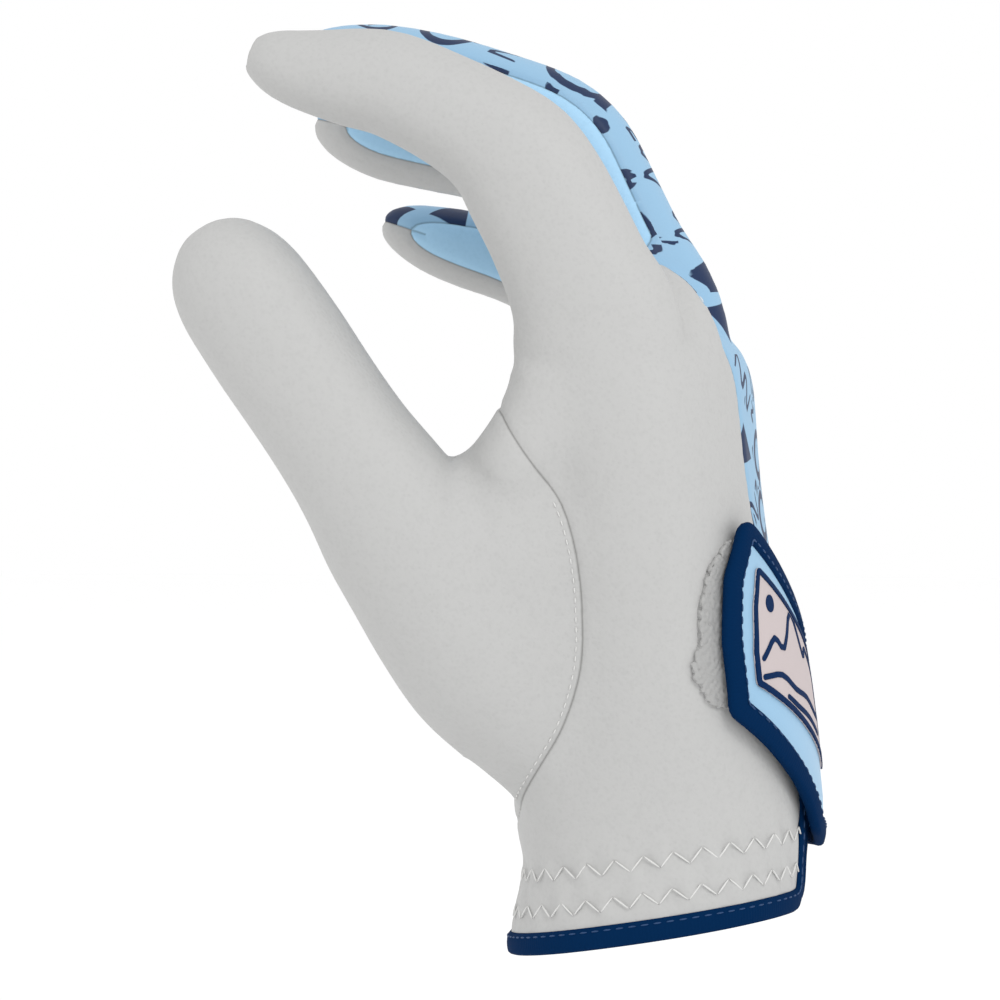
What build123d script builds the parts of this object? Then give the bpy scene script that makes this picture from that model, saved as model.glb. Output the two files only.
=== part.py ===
from build123d import *
import os
from math import copysign, cos, hypot, pi, radians, sin

# A right-hand golf glove, held in the shape of a relaxed hand. Millimetres.
# +Z runs from the cuff to the fingers, +X is the back of the hand, -Y is the thumb side.
# The origin is the centre of the cuff opening, where the hand goes in.

# ---- leather, tape and thread ----
LEATHER = 0.9            # thickness of the palm leather and of the printed back
TAPE = 0.7               # how far a binding tape stands off the leather
CUFF_TAPE = 3.8          # visible width of the cuff binding
SLIT_TAPE = 2.6          # visible width of the slit binding
THREAD = 0.35            # radius of a sewing thread
HINGE_GAP = 0.5          # half the gap left at a finger's turning axis
FAR = 110.0              # long enough to cut right through

# ---- the hand: height, centre x, half thickness, centre y, half width, squareness, droop ----
# droop carries the little finger side towards the palm
HAND = [
    (-14, 1.0, 28.8, 0.5, 32.8, 2.2, 0.0),
    (0, 1.3, 28.2, 0.5, 32.2, 2.2, 0.0),
    (10, 2.4, 27.0, 0.5, 31.4, 2.2, 0.0),
    (22, 2.2, 27.2, 0.5, 31.8, 2.2, 0.5),
    (45, 2.8, 24.4, 0.3, 36.0, 2.3, 2.0),
    (75, 1.5, 20.2, -0.6, 40.8, 2.4, 5.0),
    (98, 0.2, 18.4, -1.6, 42.2, 2.5, 8.5),
    (130, -5.8, 16.4, -2.4, 42.0, 2.6, 9.0),
]
OUTLINE_POINTS = 24

# ---- the cuff is cut on a slant, lower on the palm side ----
CUFF_SLOPE = 9.0         # degrees
CUFF_DROP = -2.2         # height of the cut at x = 0

# ---- fingers, index to little ----
# y is the place across the hand and splay the lean in degrees. line is the root hinge, the middle
# hinge, the last joint and the end as (x, z). size is (half thickness, half width) at those points.
# base_range and tip_range are how far the two hinges turn, in degrees, positive towards the palm.
FINGERS = {
    "index": {
        "y": -33.3, "splay": -2.5, "slab": (-FAR, -22.0), "fourchettes": (1,),
        "line": [(-3.0, 114.0), (-21.2, 147.3), (-46.7, 158.6), (-73.5, 166.4)],
        "size": [(14.0, 10.5), (11.8, 10.4), (10.2, 9.7), (8.4, 8.6)],
        "base_range": (-30, 12), "tip_range": (-40, 15),
    },
    "middle": {
        "y": -11.0, "splay": -0.5, "slab": (-22.0, -0.5), "fourchettes": (-1, 1),
        "line": [(-3.5, 119.0), (-11.2, 150.1), (-37.0, 159.8), (-66.0, 166.3)],
        "size": [(14.0, 10.2), (11.8, 10.2), (10.2, 9.6), (8.4, 8.5)],
        "base_range": (-25, 30), "tip_range": (-45, 40),
    },
    "ring": {
        "y": 10.0, "splay": 1.8, "slab": (-0.5, 20.1), "fourchettes": (-1, 1),
        "line": [(-5.0, 114.0), (-18.0, 144.8), (-43.6, 152.3), (-70.0, 156.6)],
        "size": [(13.6, 9.8), (11.0, 9.6), (9.6, 9.1), (8.0, 8.0)],
        "base_range": (-25, 30), "tip_range": (-45, 40),
    },
    "little": {
        "y": 30.2, "splay": 4.5, "slab": (20.1, FAR), "fourchettes": (-1,),
        "line": [(-8.5, 101.0), (-22.4, 125.6), (-42.0, 133.0), (-62.0, 138.6)],
        "size": [(12.6, 8.9), (9.8, 8.6), (8.4, 8.0), (7.0, 7.0)],
        "base_range": (-25, 30), "tip_range": (-40, 40),
    },
}
UP = (-0.12, 1.0)                        # the way the hand runs into the fingers
CAP = [(0.90, 0.91), (0.965, 0.68), (1.0, 0.34)]    # rounded end: share of the last length, share of its size
SIDE_SHARE = 0.74                        # share of the half width where a fourchette begins

# ---- thumb: centre line and (half thickness, half width) from the heel of the hand to the tip ----
THUMB_ROOT = [(-9.0, -19.0, 26.0), (-28.0, -29.5, 53.0), (-45.0, -36.5, 80.6)]
THUMB_ROOT_SIZE = [(13.0, 11.0), (17.5, 13.5), (15.0, 13.2)]
THUMB_MIDDLE = [(-45.0, -36.5, 80.6), (-62.6, -39.5, 106.5)]
THUMB_MIDDLE_SIZE = [(15.0, 13.2), (13.3, 12.3)]
THUMB_TIP = [(-62.6, -39.5, 106.5), (-72.4, -41.0, 120.9), (-78.0, -41.8, 129.2)]
THUMB_TIP_SIZE = [(13.3, 12.3), (12.6, 11.4), (8.6, 7.8)]
THUMB_END = [(-80.4, -42.1, 132.8), (4.2, 3.8)]
THUMB_AXIS = (0.82, 0.0, 0.57)           # turning this way opens the thumb away from the palm
THUMB_MIDDLE_RANGE = (-20, 12)
THUMB_TIP_RANGE = (-25, 12)

# ---- seams: the thumb's seen from the thumb side (x, z), the back's seen from the back (y, z) ----
THUMB_SEAM = [(-19.0, 90.0), (-10.6, 79.5), (-7.6, 66.0), (-7.6, 52.0), (-11.0, 38.5), (-21.5, 23.0)]
THUMB_SEAM_Y = -6.0
BACK_SEAM = [(-22.0, 130.0), (-21.6, 116.0), (-16.0, 99.0), (-11.0, 81.0), (-3.4, 58.0), (-1.0, 50.0)]
SIDE_SEAM_X = -2.0
SEAM_WIDTH = 0.8

# ---- the slit at the back of the wrist (y, z) ----
SLIT = [(2.2, -20.0), (0.7, 4.0), (-2.5, 52.5), (-1.0, 54.6), (0.6, 52.5), (10.5, 4.0), (15.4, -20.0)]

# ---- the closing tab, its badge and pads (y, z) ----
TAB = [(24.0, 13.0), (24.0, 47.0), (-26.5, 76.0), (-31.0, 68.0), (-32.0, 56.0), (-30.5, 43.5), (-12.5, 26.5), (0.0, 16.0), (9.0, 13.0)]
TAB_CORNER = 3.5
TAB_TAPE = 3.4
TAB_LIFT, TAB_THICK = 2.2, 1.4
BADGE = [(12.0, 27.5), (12.0, 48.0), (-22.5, 67.5), (-24.5, 61.0), (-25.5, 52.0), (-25.0, 46.0)]
BADGE_THICK, BADGE_BORDER = 0.4, 1.1
HOOK_PAD = [(9.0, 34.0), (9.0, 46.0), (-19.0, 62.5), (-25.5, 60.0), (-27.0, 50.0), (-23.0, 44.0)]
LOOP_PATCH = [(-14.0, 40.0), (-16.0, 71.0), (-27.0, 74.0), (-32.0, 69.0), (-34.4, 61.0), (-34.6, 52.0), (-33.2, 45.0), (-28.0, 40.5)]
LOOP_THICK = 0.9
ANCHOR = [(27.6, 14.0), (27.6, 46.0), (33.0, 43.0), (33.0, 17.0)]
TAB_AXIS = [(23.0, 25.4, 13.0), (22.5, 25.4, 47.0)]
TAB_RANGE = (0, 100)

# ---- the elastic inside the wrist and its zigzag stitches, heights above the cuff ----
ELASTIC = (4.6, 16.5)
ELASTIC_THICK = 0.8
ZIGZAG_ROWS = (7.0, 14.0)
ZIGZAG_HEIGHT = 2.6
ZIGZAG_STEP = 2.8
ZIGZAG_X, ZIGZAG_Y = (-17.0, 21.0), 22.0    # where the rows turn from one side of the wrist to the next
ZIGZAG_SLIT = (-3.6, 14.2)               # the rows stop short of the slit


CUFF = Vector(0, 0, CUFF_DROP)
CUFF_UP = Vector(-sin(radians(CUFF_SLOPE)), 0, cos(radians(CUFF_SLOPE)))
CUFF_BACK = Vector(cos(radians(CUFF_SLOPE)), 0, sin(radians(CUFF_SLOPE)))
ACROSS = Vector(0, 1, 0)


def outline(row, grow, turn):
    """The point of one hand section at an angle: 0 is the little finger side, 90 is the back."""
    z, cx, a, cy, b, square, droop = row
    c, s = cos(turn), sin(turn)
    y = (b + grow) * copysign(abs(c) ** (2 / square), c)
    x = (a + grow) * copysign(abs(s) ** (2 / square), s)
    return Vector(cx + x - droop * max(y / b, 0) ** 1.5, cy + y, z)


def hand(grow):
    """The solid hand without its thumb, grown all round."""
    turns = [2 * pi * i / OUTLINE_POINTS for i in range(OUTLINE_POINTS)]
    sections = [Wire([Edge.make_spline([outline(row, grow, t) for t in turns], periodic=True)]) for row in HAND]
    return Solid.make_loft(sections)


def limb(points, sizes, axis, grow):
    """A solid tube of elliptical sections along a centre line; axis is the way its width runs."""
    wires = []
    for i, (point, (thick, wide)) in enumerate(zip(points, sizes)):
        before = Vector(*points[max(i - 1, 0)])
        after = Vector(*points[min(i + 1, len(points) - 1)])
        plane = Plane(origin=point, x_dir=axis, z_dir=(after - before).normalized())
        wires.append((plane * Ellipse(wide + grow, thick + grow)).face().outer_wire())
    return Solid.make_loft(wires)


def prism(points, push):
    return Solid.extrude(Face(Wire.make_polygon(points, close=True)), Vector(*push))


def from_back(points, corner=0.0, inset=0.0):
    """A prism of a (y, z) outline through the back half of the hand."""
    face = Face(Wire.make_polygon([(0, y, z) for y, z in points], close=True))
    if corner:
        face = face.fillet_2d(corner, face.vertices())
    if inset:
        face = offset(face, amount=-inset, kind=Kind.ARC).face()
    return Solid.extrude(face, Vector(FAR, 0, 0))


def above_cuff(height):
    """Everything more than a height above the slanted cuff."""
    plane = Plane(origin=CUFF + CUFF_UP * height, x_dir=CUFF_BACK, z_dir=CUFF_UP)
    return plane * Box(3 * FAR, 3 * FAR, 3 * FAR, align=(Align.CENTER, Align.CENTER, Align.MIN))


def zigzag(along, out, start, stop, height):
    """A prism through one side of the wrist, in the shape of a row of zigzag stitches."""
    count = round((stop - start) / ZIGZAG_STEP)
    half = ZIGZAG_HEIGHT / 2
    corners = [(start + (stop - start) * i / count, height + (half if i % 2 else -half)) for i in range(count + 1)]
    return prism([CUFF + along * u + CUFF_UP * v for u, v in stroke(corners, 2 * THREAD)], out * FAR)


def unit(x, z):
    size = hypot(x, z)
    return (x / size, z / size)


def turned(direction, degrees):
    """An (x, z) direction turned towards the palm."""
    x, z = direction
    c, s = cos(radians(degrees)), sin(radians(degrees))
    return (x * c - z * s, x * s + z * c)


def keep_after(hinge, along, span):
    """The (x, z) outline of the part beyond a hinge, cut back so it can turn over its range."""
    low, high = span
    x, z = hinge[0] + HINGE_GAP * along[0], hinge[1] + HINGE_GAP * along[1]
    palm = turned(along, 90 - max(high, 0) / 2 - 4)
    back = turned(along, -90 + max(-low, 0) / 2 + 4)
    return [
        (x, z),
        (x + FAR * palm[0], z + FAR * palm[1]),
        (x + FAR * (palm[0] + along[0]), z + FAR * (palm[1] + along[1])),
        (x + FAR * (back[0] + along[0]), z + FAR * (back[1] + along[1])),
        (x + FAR * back[0], z + FAR * back[1]),
    ]


def keep_before(hinge, along, span):
    """The (x, z) outline of the part before a hinge."""
    return keep_after(hinge, (-along[0], -along[1]), (-span[1], -span[0]))


class Finger:
    """A finger lies in its own plane, which leans by its splay."""

    def __init__(self, spec):
        self.spec, self.line, self.size = spec, spec["line"], spec["size"]
        lean = radians(spec["splay"])
        self.across = Vector(0, cos(lean), -sin(lean))
        self.rise = Vector(0, sin(lean), cos(lean))
        root, mid, last, end = self.line
        self.first = unit(mid[0] - root[0], mid[1] - root[1])
        self.second = unit(last[0] - mid[0], last[1] - mid[1])
        self.third = unit(end[0] - last[0], end[1] - last[1])
        up = unit(*UP)
        self.at_root = unit(up[0] + self.first[0], up[1] + self.first[1])
        self.at_mid = unit(self.first[0] + self.second[0], self.first[1] + self.second[1])
        self.at_last = unit(self.second[0] + self.third[0], self.second[1] + self.third[1])

    def point(self, x, z):
        root_z = self.line[0][1]
        return Vector(x, self.spec["y"], root_z) + self.rise * (z - root_z)

    def prism(self, points, low=-FAR, high=FAR):
        return prism([self.point(x, z) + self.across * low for x, z in points], self.across * (high - low))

    def ring(self, at, heading, thick, wide):
        plane = Plane(origin=self.point(*at), x_dir=self.across, z_dir=Vector(heading[0], 0, 0) + self.rise * heading[1])
        return (plane * Ellipse(wide, thick)).face().outer_wire()

    def solid(self, part, grow):
        root, mid, last, end = self.line
        sizes = [(t + grow, w + grow) for t, w in self.size]
        cos_mid = self.first[0] * self.at_mid[0] + self.first[1] * self.at_mid[1]
        mid_ring = self.ring(mid, self.at_mid, sizes[1][0] / cos_mid, sizes[1][1])
        if part == "base":
            start = (root[0] - 4 * self.at_root[0], root[1] - 4 * self.at_root[1])
            half = ((root[0] + mid[0]) / 2, (root[1] + mid[1]) / 2)
            thick = (sizes[0][0] + sizes[1][0]) / 2 - 0.4
            rings = [
                self.ring(start, self.at_root, *sizes[0]),
                self.ring(half, self.first, thick, sizes[0][1]),
                mid_ring,
            ]
            return Solid.make_loft(rings, True)
        rings = [mid_ring, self.ring(last, self.at_last, *sizes[2])]
        for share, scale in [(0.82, 1.0)] + CAP:
            reach = share * hypot(end[0] - last[0], end[1] - last[1]) + grow * share
            at = (last[0] + reach * self.third[0], last[1] + reach * self.third[1])
            rings.append(self.ring(at, self.third, sizes[3][0] * scale, sizes[3][1] * scale))
        return Solid.make_loft(rings, True)

    def back_half(self):
        """The (x, z) outline of everything on the back side of the centre line."""
        root, mid, last, end = self.line
        start = (root[0] - 30 * self.at_root[0], root[1] - 30 * self.at_root[1])
        stop = (end[0] + 30 * self.third[0], end[1] + 30 * self.third[1])
        return [start, root, mid, last, end, stop, (stop[0], 2 * FAR), (FAR, 2 * FAR), (FAR, start[1])]

    def panels(self):
        """The sewn panels of the finger, named by part and place."""
        root, mid = self.line[:2]
        keep = {
            "base": self.prism(keep_after(root, self.at_root, self.spec["base_range"]))
            & self.prism(keep_before(mid, self.at_mid, self.spec["tip_range"])),
            "tip": self.prism(keep_after(mid, self.at_mid, self.spec["tip_range"])),
        }
        edge = SIDE_SHARE * self.size[2][1]
        everywhere = [(-FAR, 0), (FAR, 0), (FAR, 2 * FAR), (-FAR, 2 * FAR)]
        back = self.prism(self.back_half(), -edge, edge)
        panels = {}
        for part in ("base", "tip"):
            tube = (self.solid(part, 0) - self.solid(part, -LEATHER)) & keep[part]
            panels[part, "back"] = tube & back
            rest = tube - back
            for side in self.spec["fourchettes"]:
                low, high = (edge, FAR) if side > 0 else (-FAR, -edge)
                strip = self.prism(everywhere, low, high)
                name = "fourchette_outer" if side > 0 else "fourchette_inner"
                panels[part, name] = rest & strip
                rest = rest - strip
            panels[part, "front"] = rest
        return panels


def thumb_keep(hinge, towards, span, before):
    """Half the space at a thumb hinge, cut back like a finger's."""
    along = (Vector(*towards) - Vector(*hinge)).normalized()
    axis = (Vector(*THUMB_AXIS) - along * Vector(*THUMB_AXIS).dot(along)).normalized()
    out = axis.cross(along)
    if before:
        along = along * -1
    low, high = span
    origin = Vector(*hinge) + along * HINGE_GAP
    rays = []
    for side, swing in ((1, high), (-1, -low)):
        tilt = radians(swing / 2 + 4)
        rays.append(out * (side * cos(tilt)) + along * sin(tilt))
    outline_points = [
        origin,
        origin + rays[0] * FAR,
        origin + (rays[0] + along) * FAR,
        origin + (rays[1] + along) * FAR,
        origin + rays[1] * FAR,
    ]
    return prism([p - axis * FAR for p in outline_points], axis * (2 * FAR))


def stroke(points, width):
    """The outline of a narrow band along a line of (u, v) points."""
    left, right = [], []
    for i, (u, v) in enumerate(points):
        a, b = points[max(i - 1, 0)], points[min(i + 1, len(points) - 1)]
        du, dv = unit(b[0] - a[0], b[1] - a[1])
        left.append((u - dv * width / 2, v + du * width / 2))
        right.append((u + dv * width / 2, v - du * width / 2))
    return left + right[::-1]


nodes = {}

# the hand and the root of the thumb are one hollow shell
outer_hand, inner_hand = hand(0), hand(-LEATHER)
width_axis = Vector(0.18, 1.0, 0.0)
shell = (outer_hand + limb(THUMB_ROOT, THUMB_ROOT_SIZE, width_axis, 0))
shell = shell - inner_hand - limb(THUMB_ROOT, THUMB_ROOT_SIZE, width_axis, -LEATHER)
shell = shell & above_cuff(0)
shell = shell & (thumb_keep(THUMB_MIDDLE[0], THUMB_MIDDLE[1], THUMB_MIDDLE_RANGE, True) + Box(
    42, 300, 400, align=(Align.MIN, Align.CENTER, Align.CENTER)).moved(Location((-24, 0, 0))))

# above the knuckles it is cut back from each finger's root hinge
fingers = {name: Finger(spec) for name, spec in FINGERS.items()}
top = HAND[-1][0] + 5
for name, finger in fingers.items():
    low, high = finger.spec["slab"]
    kept = keep_before(finger.line[0], finger.at_root, finger.spec["base_range"])
    cut = prism([(x, low, z) for x, z in ((-FAR, 60), (FAR, 60), (FAR, top), (-FAR, top))], (0, high - low, 0))
    shell = shell - (cut - finger.prism(kept))

# the panels of the hand: printed back, thumb and palm
slit = from_back(SLIT)
back_outline = BACK_SEAM + [(8.8, -20.0), (FAR, -20.0), (FAR, 130.0)]
back_prism = prism([(SIDE_SEAM_X, y, z) for y, z in back_outline], (FAR, 0, 0))
thumb_outline = THUMB_SEAM + [(-FAR, 0.0), (-FAR, 110.0)]
thumb_prism = prism([(x, THUMB_SEAM_Y, z) for x, z in thumb_outline], (0, -FAR, 0))
nodes["back_panel"] = ((shell & back_prism) - slit).solids().sort_by(SortBy.VOLUME)[-1]
nodes["thumb_base_panel"] = shell & thumb_prism
nodes["palm_panel"] = shell - back_prism - thumb_prism - slit

# the tapes round the cuff and the slit
tape_layer = hand(TAPE) - outer_hand
wide_slit = from_back(SLIT, inset=-SLIT_TAPE)
band = above_cuff(0) - above_cuff(CUFF_TAPE)
nodes["cuff_binding"] = (tape_layer & band) - slit
nodes["slit_binding"] = (tape_layer & wide_slit & above_cuff(CUFF_TAPE)) - slit

# thread along the two seams that show
nodes["back_seam_thread"] = (hand(0.35) - hand(-0.15)) & from_back(stroke([(-21.6, 112.0)] + BACK_SEAM[2:4] + [(-9.5, 77.5)], SEAM_WIDTH))
thick_root = limb(THUMB_ROOT, THUMB_ROOT_SIZE, width_axis, 0.35)
thin_root = limb(THUMB_ROOT, THUMB_ROOT_SIZE, width_axis, -0.15)
seam_prism = prism([(x, THUMB_SEAM_Y - 14, z) for x, z in stroke(THUMB_SEAM[1:-1], SEAM_WIDTH)], (0, -FAR, 0))
nodes["thumb_seam_thread"] = ((hand(0.35) + thick_root) - hand(-0.15) - thin_root) & seam_prism

# the elastic inside the wrist and the zigzag stitches that hold it
elastic_layer = hand(-LEATHER) - hand(-LEATHER - ELASTIC_THICK)
nodes["wrist_elastic"] = (elastic_layer & (above_cuff(ELASTIC[0]) - above_cuff(ELASTIC[1]))) - wide_slit
sides = [
    (ACROSS, CUFF_BACK * -1, -ZIGZAG_Y, ZIGZAG_Y),
    (CUFF_BACK, ACROSS * -1, *ZIGZAG_X),
    (CUFF_BACK, ACROSS, *ZIGZAG_X),
    (ACROSS, CUFF_BACK, -ZIGZAG_Y, ZIGZAG_SLIT[0]),
    (ACROSS, CUFF_BACK, ZIGZAG_SLIT[1], ZIGZAG_Y),
]
thread_layer = hand(0.45) - outer_hand
sewn_over = from_back(ANCHOR, 1.5)
rows = [(thread_layer & zigzag(*side, height)) - sewn_over for height in ZIGZAG_ROWS for side in sides]
nodes["zigzag_stitches"] = Compound(children=[solid for row in rows for solid in row.solids()])

# the closing tab with its binding, badge and hook pad, and the patch it closes on
tab_top = TAB_LIFT + TAB_THICK
nodes["loop_patch"] = (hand(LOOP_THICK) - outer_hand) & from_back(LOOP_PATCH, 2.5) - wide_slit
nodes["tab_anchor"] = (hand(1.3) - outer_hand) & sewn_over
nodes["tab_face"] = (hand(tab_top) - hand(TAB_LIFT)) & from_back(TAB, TAB_CORNER)
over_tab = hand(tab_top + 0.5) - hand(tab_top)
nodes["tab_binding"] = (over_tab & from_back(TAB, TAB_CORNER)) - from_back(TAB, TAB_CORNER, TAB_TAPE)
over_badge = hand(tab_top + BADGE_THICK) - hand(tab_top)
badge_inside = from_back(BADGE, 1.5, BADGE_BORDER)
nodes["tab_badge"] = over_badge & badge_inside
nodes["badge_border"] = (over_badge & from_back(BADGE, 1.5)) - badge_inside
nodes["tab_hook_pad"] = (hand(TAB_LIFT) - hand(LOOP_THICK + 0.4)) & from_back(HOOK_PAD, 2.0)

# the fingers
for name, finger in fingers.items():
    for (part, place), panel in finger.panels().items():
        nodes[f"{name}_{part}_{place}"] = panel

# the thumb beyond its root
thumb_middle = limb(THUMB_MIDDLE, THUMB_MIDDLE_SIZE, width_axis, 0)
thumb_middle = thumb_middle - limb(THUMB_MIDDLE, THUMB_MIDDLE_SIZE, width_axis, -LEATHER)
thumb_middle = thumb_middle & thumb_keep(THUMB_MIDDLE[0], THUMB_MIDDLE[1], THUMB_MIDDLE_RANGE, False)
nodes["thumb_middle_sleeve"] = thumb_middle & thumb_keep(THUMB_TIP[0], THUMB_TIP[1], THUMB_TIP_RANGE, True)
end_point, end_size = THUMB_END
tip_points, tip_sizes = THUMB_TIP + [end_point], THUMB_TIP_SIZE + [end_size]
thumb_tip = limb(tip_points, tip_sizes, width_axis, 0)
shorter = THUMB_TIP[:2] + [(-77.6, -41.7, 128.6), (-79.9, -42.0, 132.0)]
thumb_tip = thumb_tip - limb(shorter, tip_sizes, width_axis, -LEATHER)
nodes["thumb_tip_sleeve"] = thumb_tip & thumb_keep(THUMB_TIP[0], THUMB_TIP[1], THUMB_TIP_RANGE, False)

os.makedirs("parts", exist_ok=True)
for name, shape in nodes.items():
    pieces = [s for s in shape.solids() if s.volume > 0.05]
    print(f"{name}: {len(pieces)} solid(s), {sum(s.volume for s in pieces) / 1000:.2f} cm3")
    body = pieces[0] if len(pieces) == 1 else Compound(children=pieces)
    export_step(body, f"parts/{name}.step")
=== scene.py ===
# %% [markdown]
# # Golf glove
# A right-hand golf glove, held in the shape of a relaxed hand. The imported CAD part gives the frame, the
# joints and the place of every piece. This notebook makes the looks of each piece and rides some of them
# on the CAD body that carries them. Positions are written in millimetres: +Z to the fingers, +X out of the
# back of the hand, -Y to the thumb side, and the origin in the middle of the cuff opening.

# %% Frame
import math
import random

import bmesh
import bpy
import numpy as np
from mathutils import Matrix, Vector
from mathutils.bvhtree import BVHTree
from mathutils.kdtree import KDTree


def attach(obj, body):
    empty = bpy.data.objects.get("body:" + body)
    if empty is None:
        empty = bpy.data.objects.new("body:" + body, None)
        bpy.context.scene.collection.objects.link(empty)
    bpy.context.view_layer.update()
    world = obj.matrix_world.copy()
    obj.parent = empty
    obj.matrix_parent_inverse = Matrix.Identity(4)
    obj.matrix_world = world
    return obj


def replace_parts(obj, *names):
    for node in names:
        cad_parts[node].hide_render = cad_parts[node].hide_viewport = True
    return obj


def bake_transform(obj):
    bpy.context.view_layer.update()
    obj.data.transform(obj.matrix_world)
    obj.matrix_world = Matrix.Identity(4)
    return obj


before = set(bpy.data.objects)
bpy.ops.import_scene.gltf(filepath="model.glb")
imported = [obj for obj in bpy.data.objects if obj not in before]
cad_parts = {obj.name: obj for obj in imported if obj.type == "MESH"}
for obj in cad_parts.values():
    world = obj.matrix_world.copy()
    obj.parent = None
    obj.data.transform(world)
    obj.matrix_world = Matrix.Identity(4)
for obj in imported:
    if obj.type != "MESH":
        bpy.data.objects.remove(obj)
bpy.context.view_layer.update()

MM = 0.001
random.seed(7)

# %% [markdown]
# ## The hand form
# Leather over a hand is one smooth surface with seams in it, so the form is made once and every panel is
# cut from it. Bones are laid as tubes of elliptical rings, joined by a voxel remesh and relaxed, which
# rounds the webs between fingers as skin does. Sculpting would follow one picture more closely, but rows
# of centre and half sizes stay easy to change.

# %% Sizes of the hand, in mm
# hand: height, centre x, half thickness, centre y, half width, squareness, droop of the little finger side
HAND = [
    (-16, 1.0, 28.8, 0.5, 33.0, 2.2, 0.0),
    (-2, 1.2, 28.3, 0.5, 32.4, 2.2, 0.0),
    (10, 2.4, 27.0, 0.5, 31.4, 2.2, 0.0),
    (22, 1.6, 28.4, 0.5, 31.8, 2.2, 0.5),
    (45, 2.8, 24.4, 0.3, 36.0, 2.3, 2.0),
    (60, 2.4, 22.2, 0.0, 38.6, 2.3, 3.5),
    (75, 1.8, 20.4, -0.6, 40.8, 2.4, 5.0),
    (88, 1.3, 19.6, -1.2, 42.0, 2.4, 6.5),
    (98, 1.1, 19.3, -1.6, 41.6, 2.4, 8.0),
    (106, 0.9, 18.8, -3.5, 38.5, 2.3, 8.5),
    (112.5, 0.0, 16.2, -8.0, 31.0, 2.1, 8.0),
    (116.5, -2.0, 9.0, -10.0, 24.0, 2.0, 7.0),
]
# fingers: place across the hand, lean in degrees, then x, z, half thickness, half width from root to tip
FINGERS = {
    "index": (-33.3, -2.5, [
        (1.0, 82, 11, 9), (-1.5, 94, 14.5, 10.2), (-3.9, 107, 16.1, 10.3), (-5.4, 116, 15.6, 10.0),
        (-8.2, 123, 13.9, 9.9), (-12, 131.6, 13.4, 9.8), (-16.2, 139.6, 13.2, 9.8), (-20.2, 145.6, 12.6, 9.8),
        (-25.8, 150.4, 11.2, 9.6), (-34, 155.2, 10.3, 9.4), (-44, 159.8, 9.8, 9.2), (-51.4, 161.2, 9.2, 8.9),
        (-57, 162.1, 8.2, 8.4), (-62.6, 163.3, 7.1, 7.7), (-67.6, 164.9, 5.7, 6.4), (-71.4, 166.2, 3.4, 4.0)]),
    "middle": (-11.0, -0.5, [
        (-0.5, 90, 16.2, 10.2), (0.8, 106, 16.6, 10.0), (0.0, 117, 15.2, 9.8), (-4.8, 128, 13.4, 9.7),
        (-9.4, 139.3, 12.4, 9.7), (-13.2, 147.4, 11.9, 9.7), (-18.6, 152.8, 11.2, 9.6),
        (-28.6, 157.4, 10.4, 9.4), (-40, 161.4, 10.0, 9.2), (-50, 164.2, 9.3, 8.8), (-57.5, 165.6, 8.3, 8.2),
        (-63, 166.6, 6.8, 7.2), (-67, 167.1, 4.7, 5.6), (-69.6, 167.8, 2.4, 3.2)]),
    "ring": (10.0, 1.8, [
        (-1.4, 88, 15.8, 9.8), (-0.4, 103, 15.8, 9.6), (-2.4, 114, 14.8, 9.4), (-7.8, 125, 13.2, 9.2),
        (-13.4, 135, 12.3, 9.1), (-18.4, 142.6, 11.6, 9.1), (-25.4, 147.4, 10.7, 9.0), (-35, 150.6, 9.9, 8.8),
        (-46, 152.6, 9.5, 8.5), (-56, 154.2, 8.8, 8.1), (-63, 155.7, 7.2, 7.2), (-67.8, 156.9, 5.0, 5.4),
        (-70.6, 157.6, 2.4, 3.0)]),
    "little": (30.2, 4.5, [
        (-5, 78, 9, 8), (-6.8, 90, 12, 8.6), (-9.3, 100.5, 12.4, 8.4), (-13.6, 109, 11.0, 8.1),
        (-18, 117, 10.3, 8.0), (-22.5, 123.4, 9.8, 8.0), (-28.4, 127.4, 8.9, 7.8), (-36, 130.2, 8.2, 7.5),
        (-44, 132.4, 7.7, 7.2), (-51, 134.5, 6.8, 6.8), (-56.4, 136.4, 5.4, 5.8), (-60, 137.7, 3.7, 4.4),
        (-62, 138.4, 1.8, 2.4)]),
}
# the webs between the fingers, in the same terms
WEBS = [
    (-22.2, -1.5, [(0.5, 86, 17, 11), (0.8, 105, 17, 10.5), (-0.8, 114, 15.4, 9), (-2.6, 120, 12.2, 6.8),
                   (-4, 124.6, 8, 4.2), (-5, 127, 4, 2.4)]),
    (-0.6, 0.6, [(1, 86, 17, 11), (0.8, 103, 17, 10.5), (-1.0, 111, 14.8, 8.6), (-3.0, 116.5, 11, 6),
                 (-4.4, 120.5, 6, 3.2)]),
    (20.2, 3.0, [(-3, 78, 14.5, 9.5), (-4, 92, 13.8, 9.2), (-6.4, 100, 11.6, 7.4), (-8.6, 105, 8.4, 5),
                 (-9.8, 108.5, 4.6, 2.8)]),
]
WEB_FOOT = 114.0
# thumb and the web that joins it: x, y, z, half thickness, half width
THUMB = [
    (-9, -15, 26, 11.5, 9.5), (-16, -20, 34, 13.5, 11.5), (-21.5, -24, 41.5, 15.2, 12.5),
    (-27.5, -27.5, 49.5, 16.6, 13.4), (-33, -30.5, 58.5, 16.6, 13.8), (-37.8, -33, 67, 16.2, 13.8),
    (-42.4, -35.3, 75.5, 16.0, 13.4), (-46.8, -37, 83, 14.8, 12.8), (-51.8, -38, 90.4, 13.7, 12.4),
    (-57.6, -39, 99.1, 13.4, 12.2), (-64.2, -40, 109, 13.6, 12.2), (-69.6, -40.8, 117, 13.4, 12.0),
    (-72.8, -41.2, 121.6, 12.9, 11.6), (-75.6, -41.6, 125.7, 11.5, 10.4), (-77.8, -41.9, 129, 9.0, 8.2),
    (-79.2, -42.1, 131, 6.2, 5.6), (-80, -42.2, 132.2, 3.0, 2.8),
]
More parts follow.
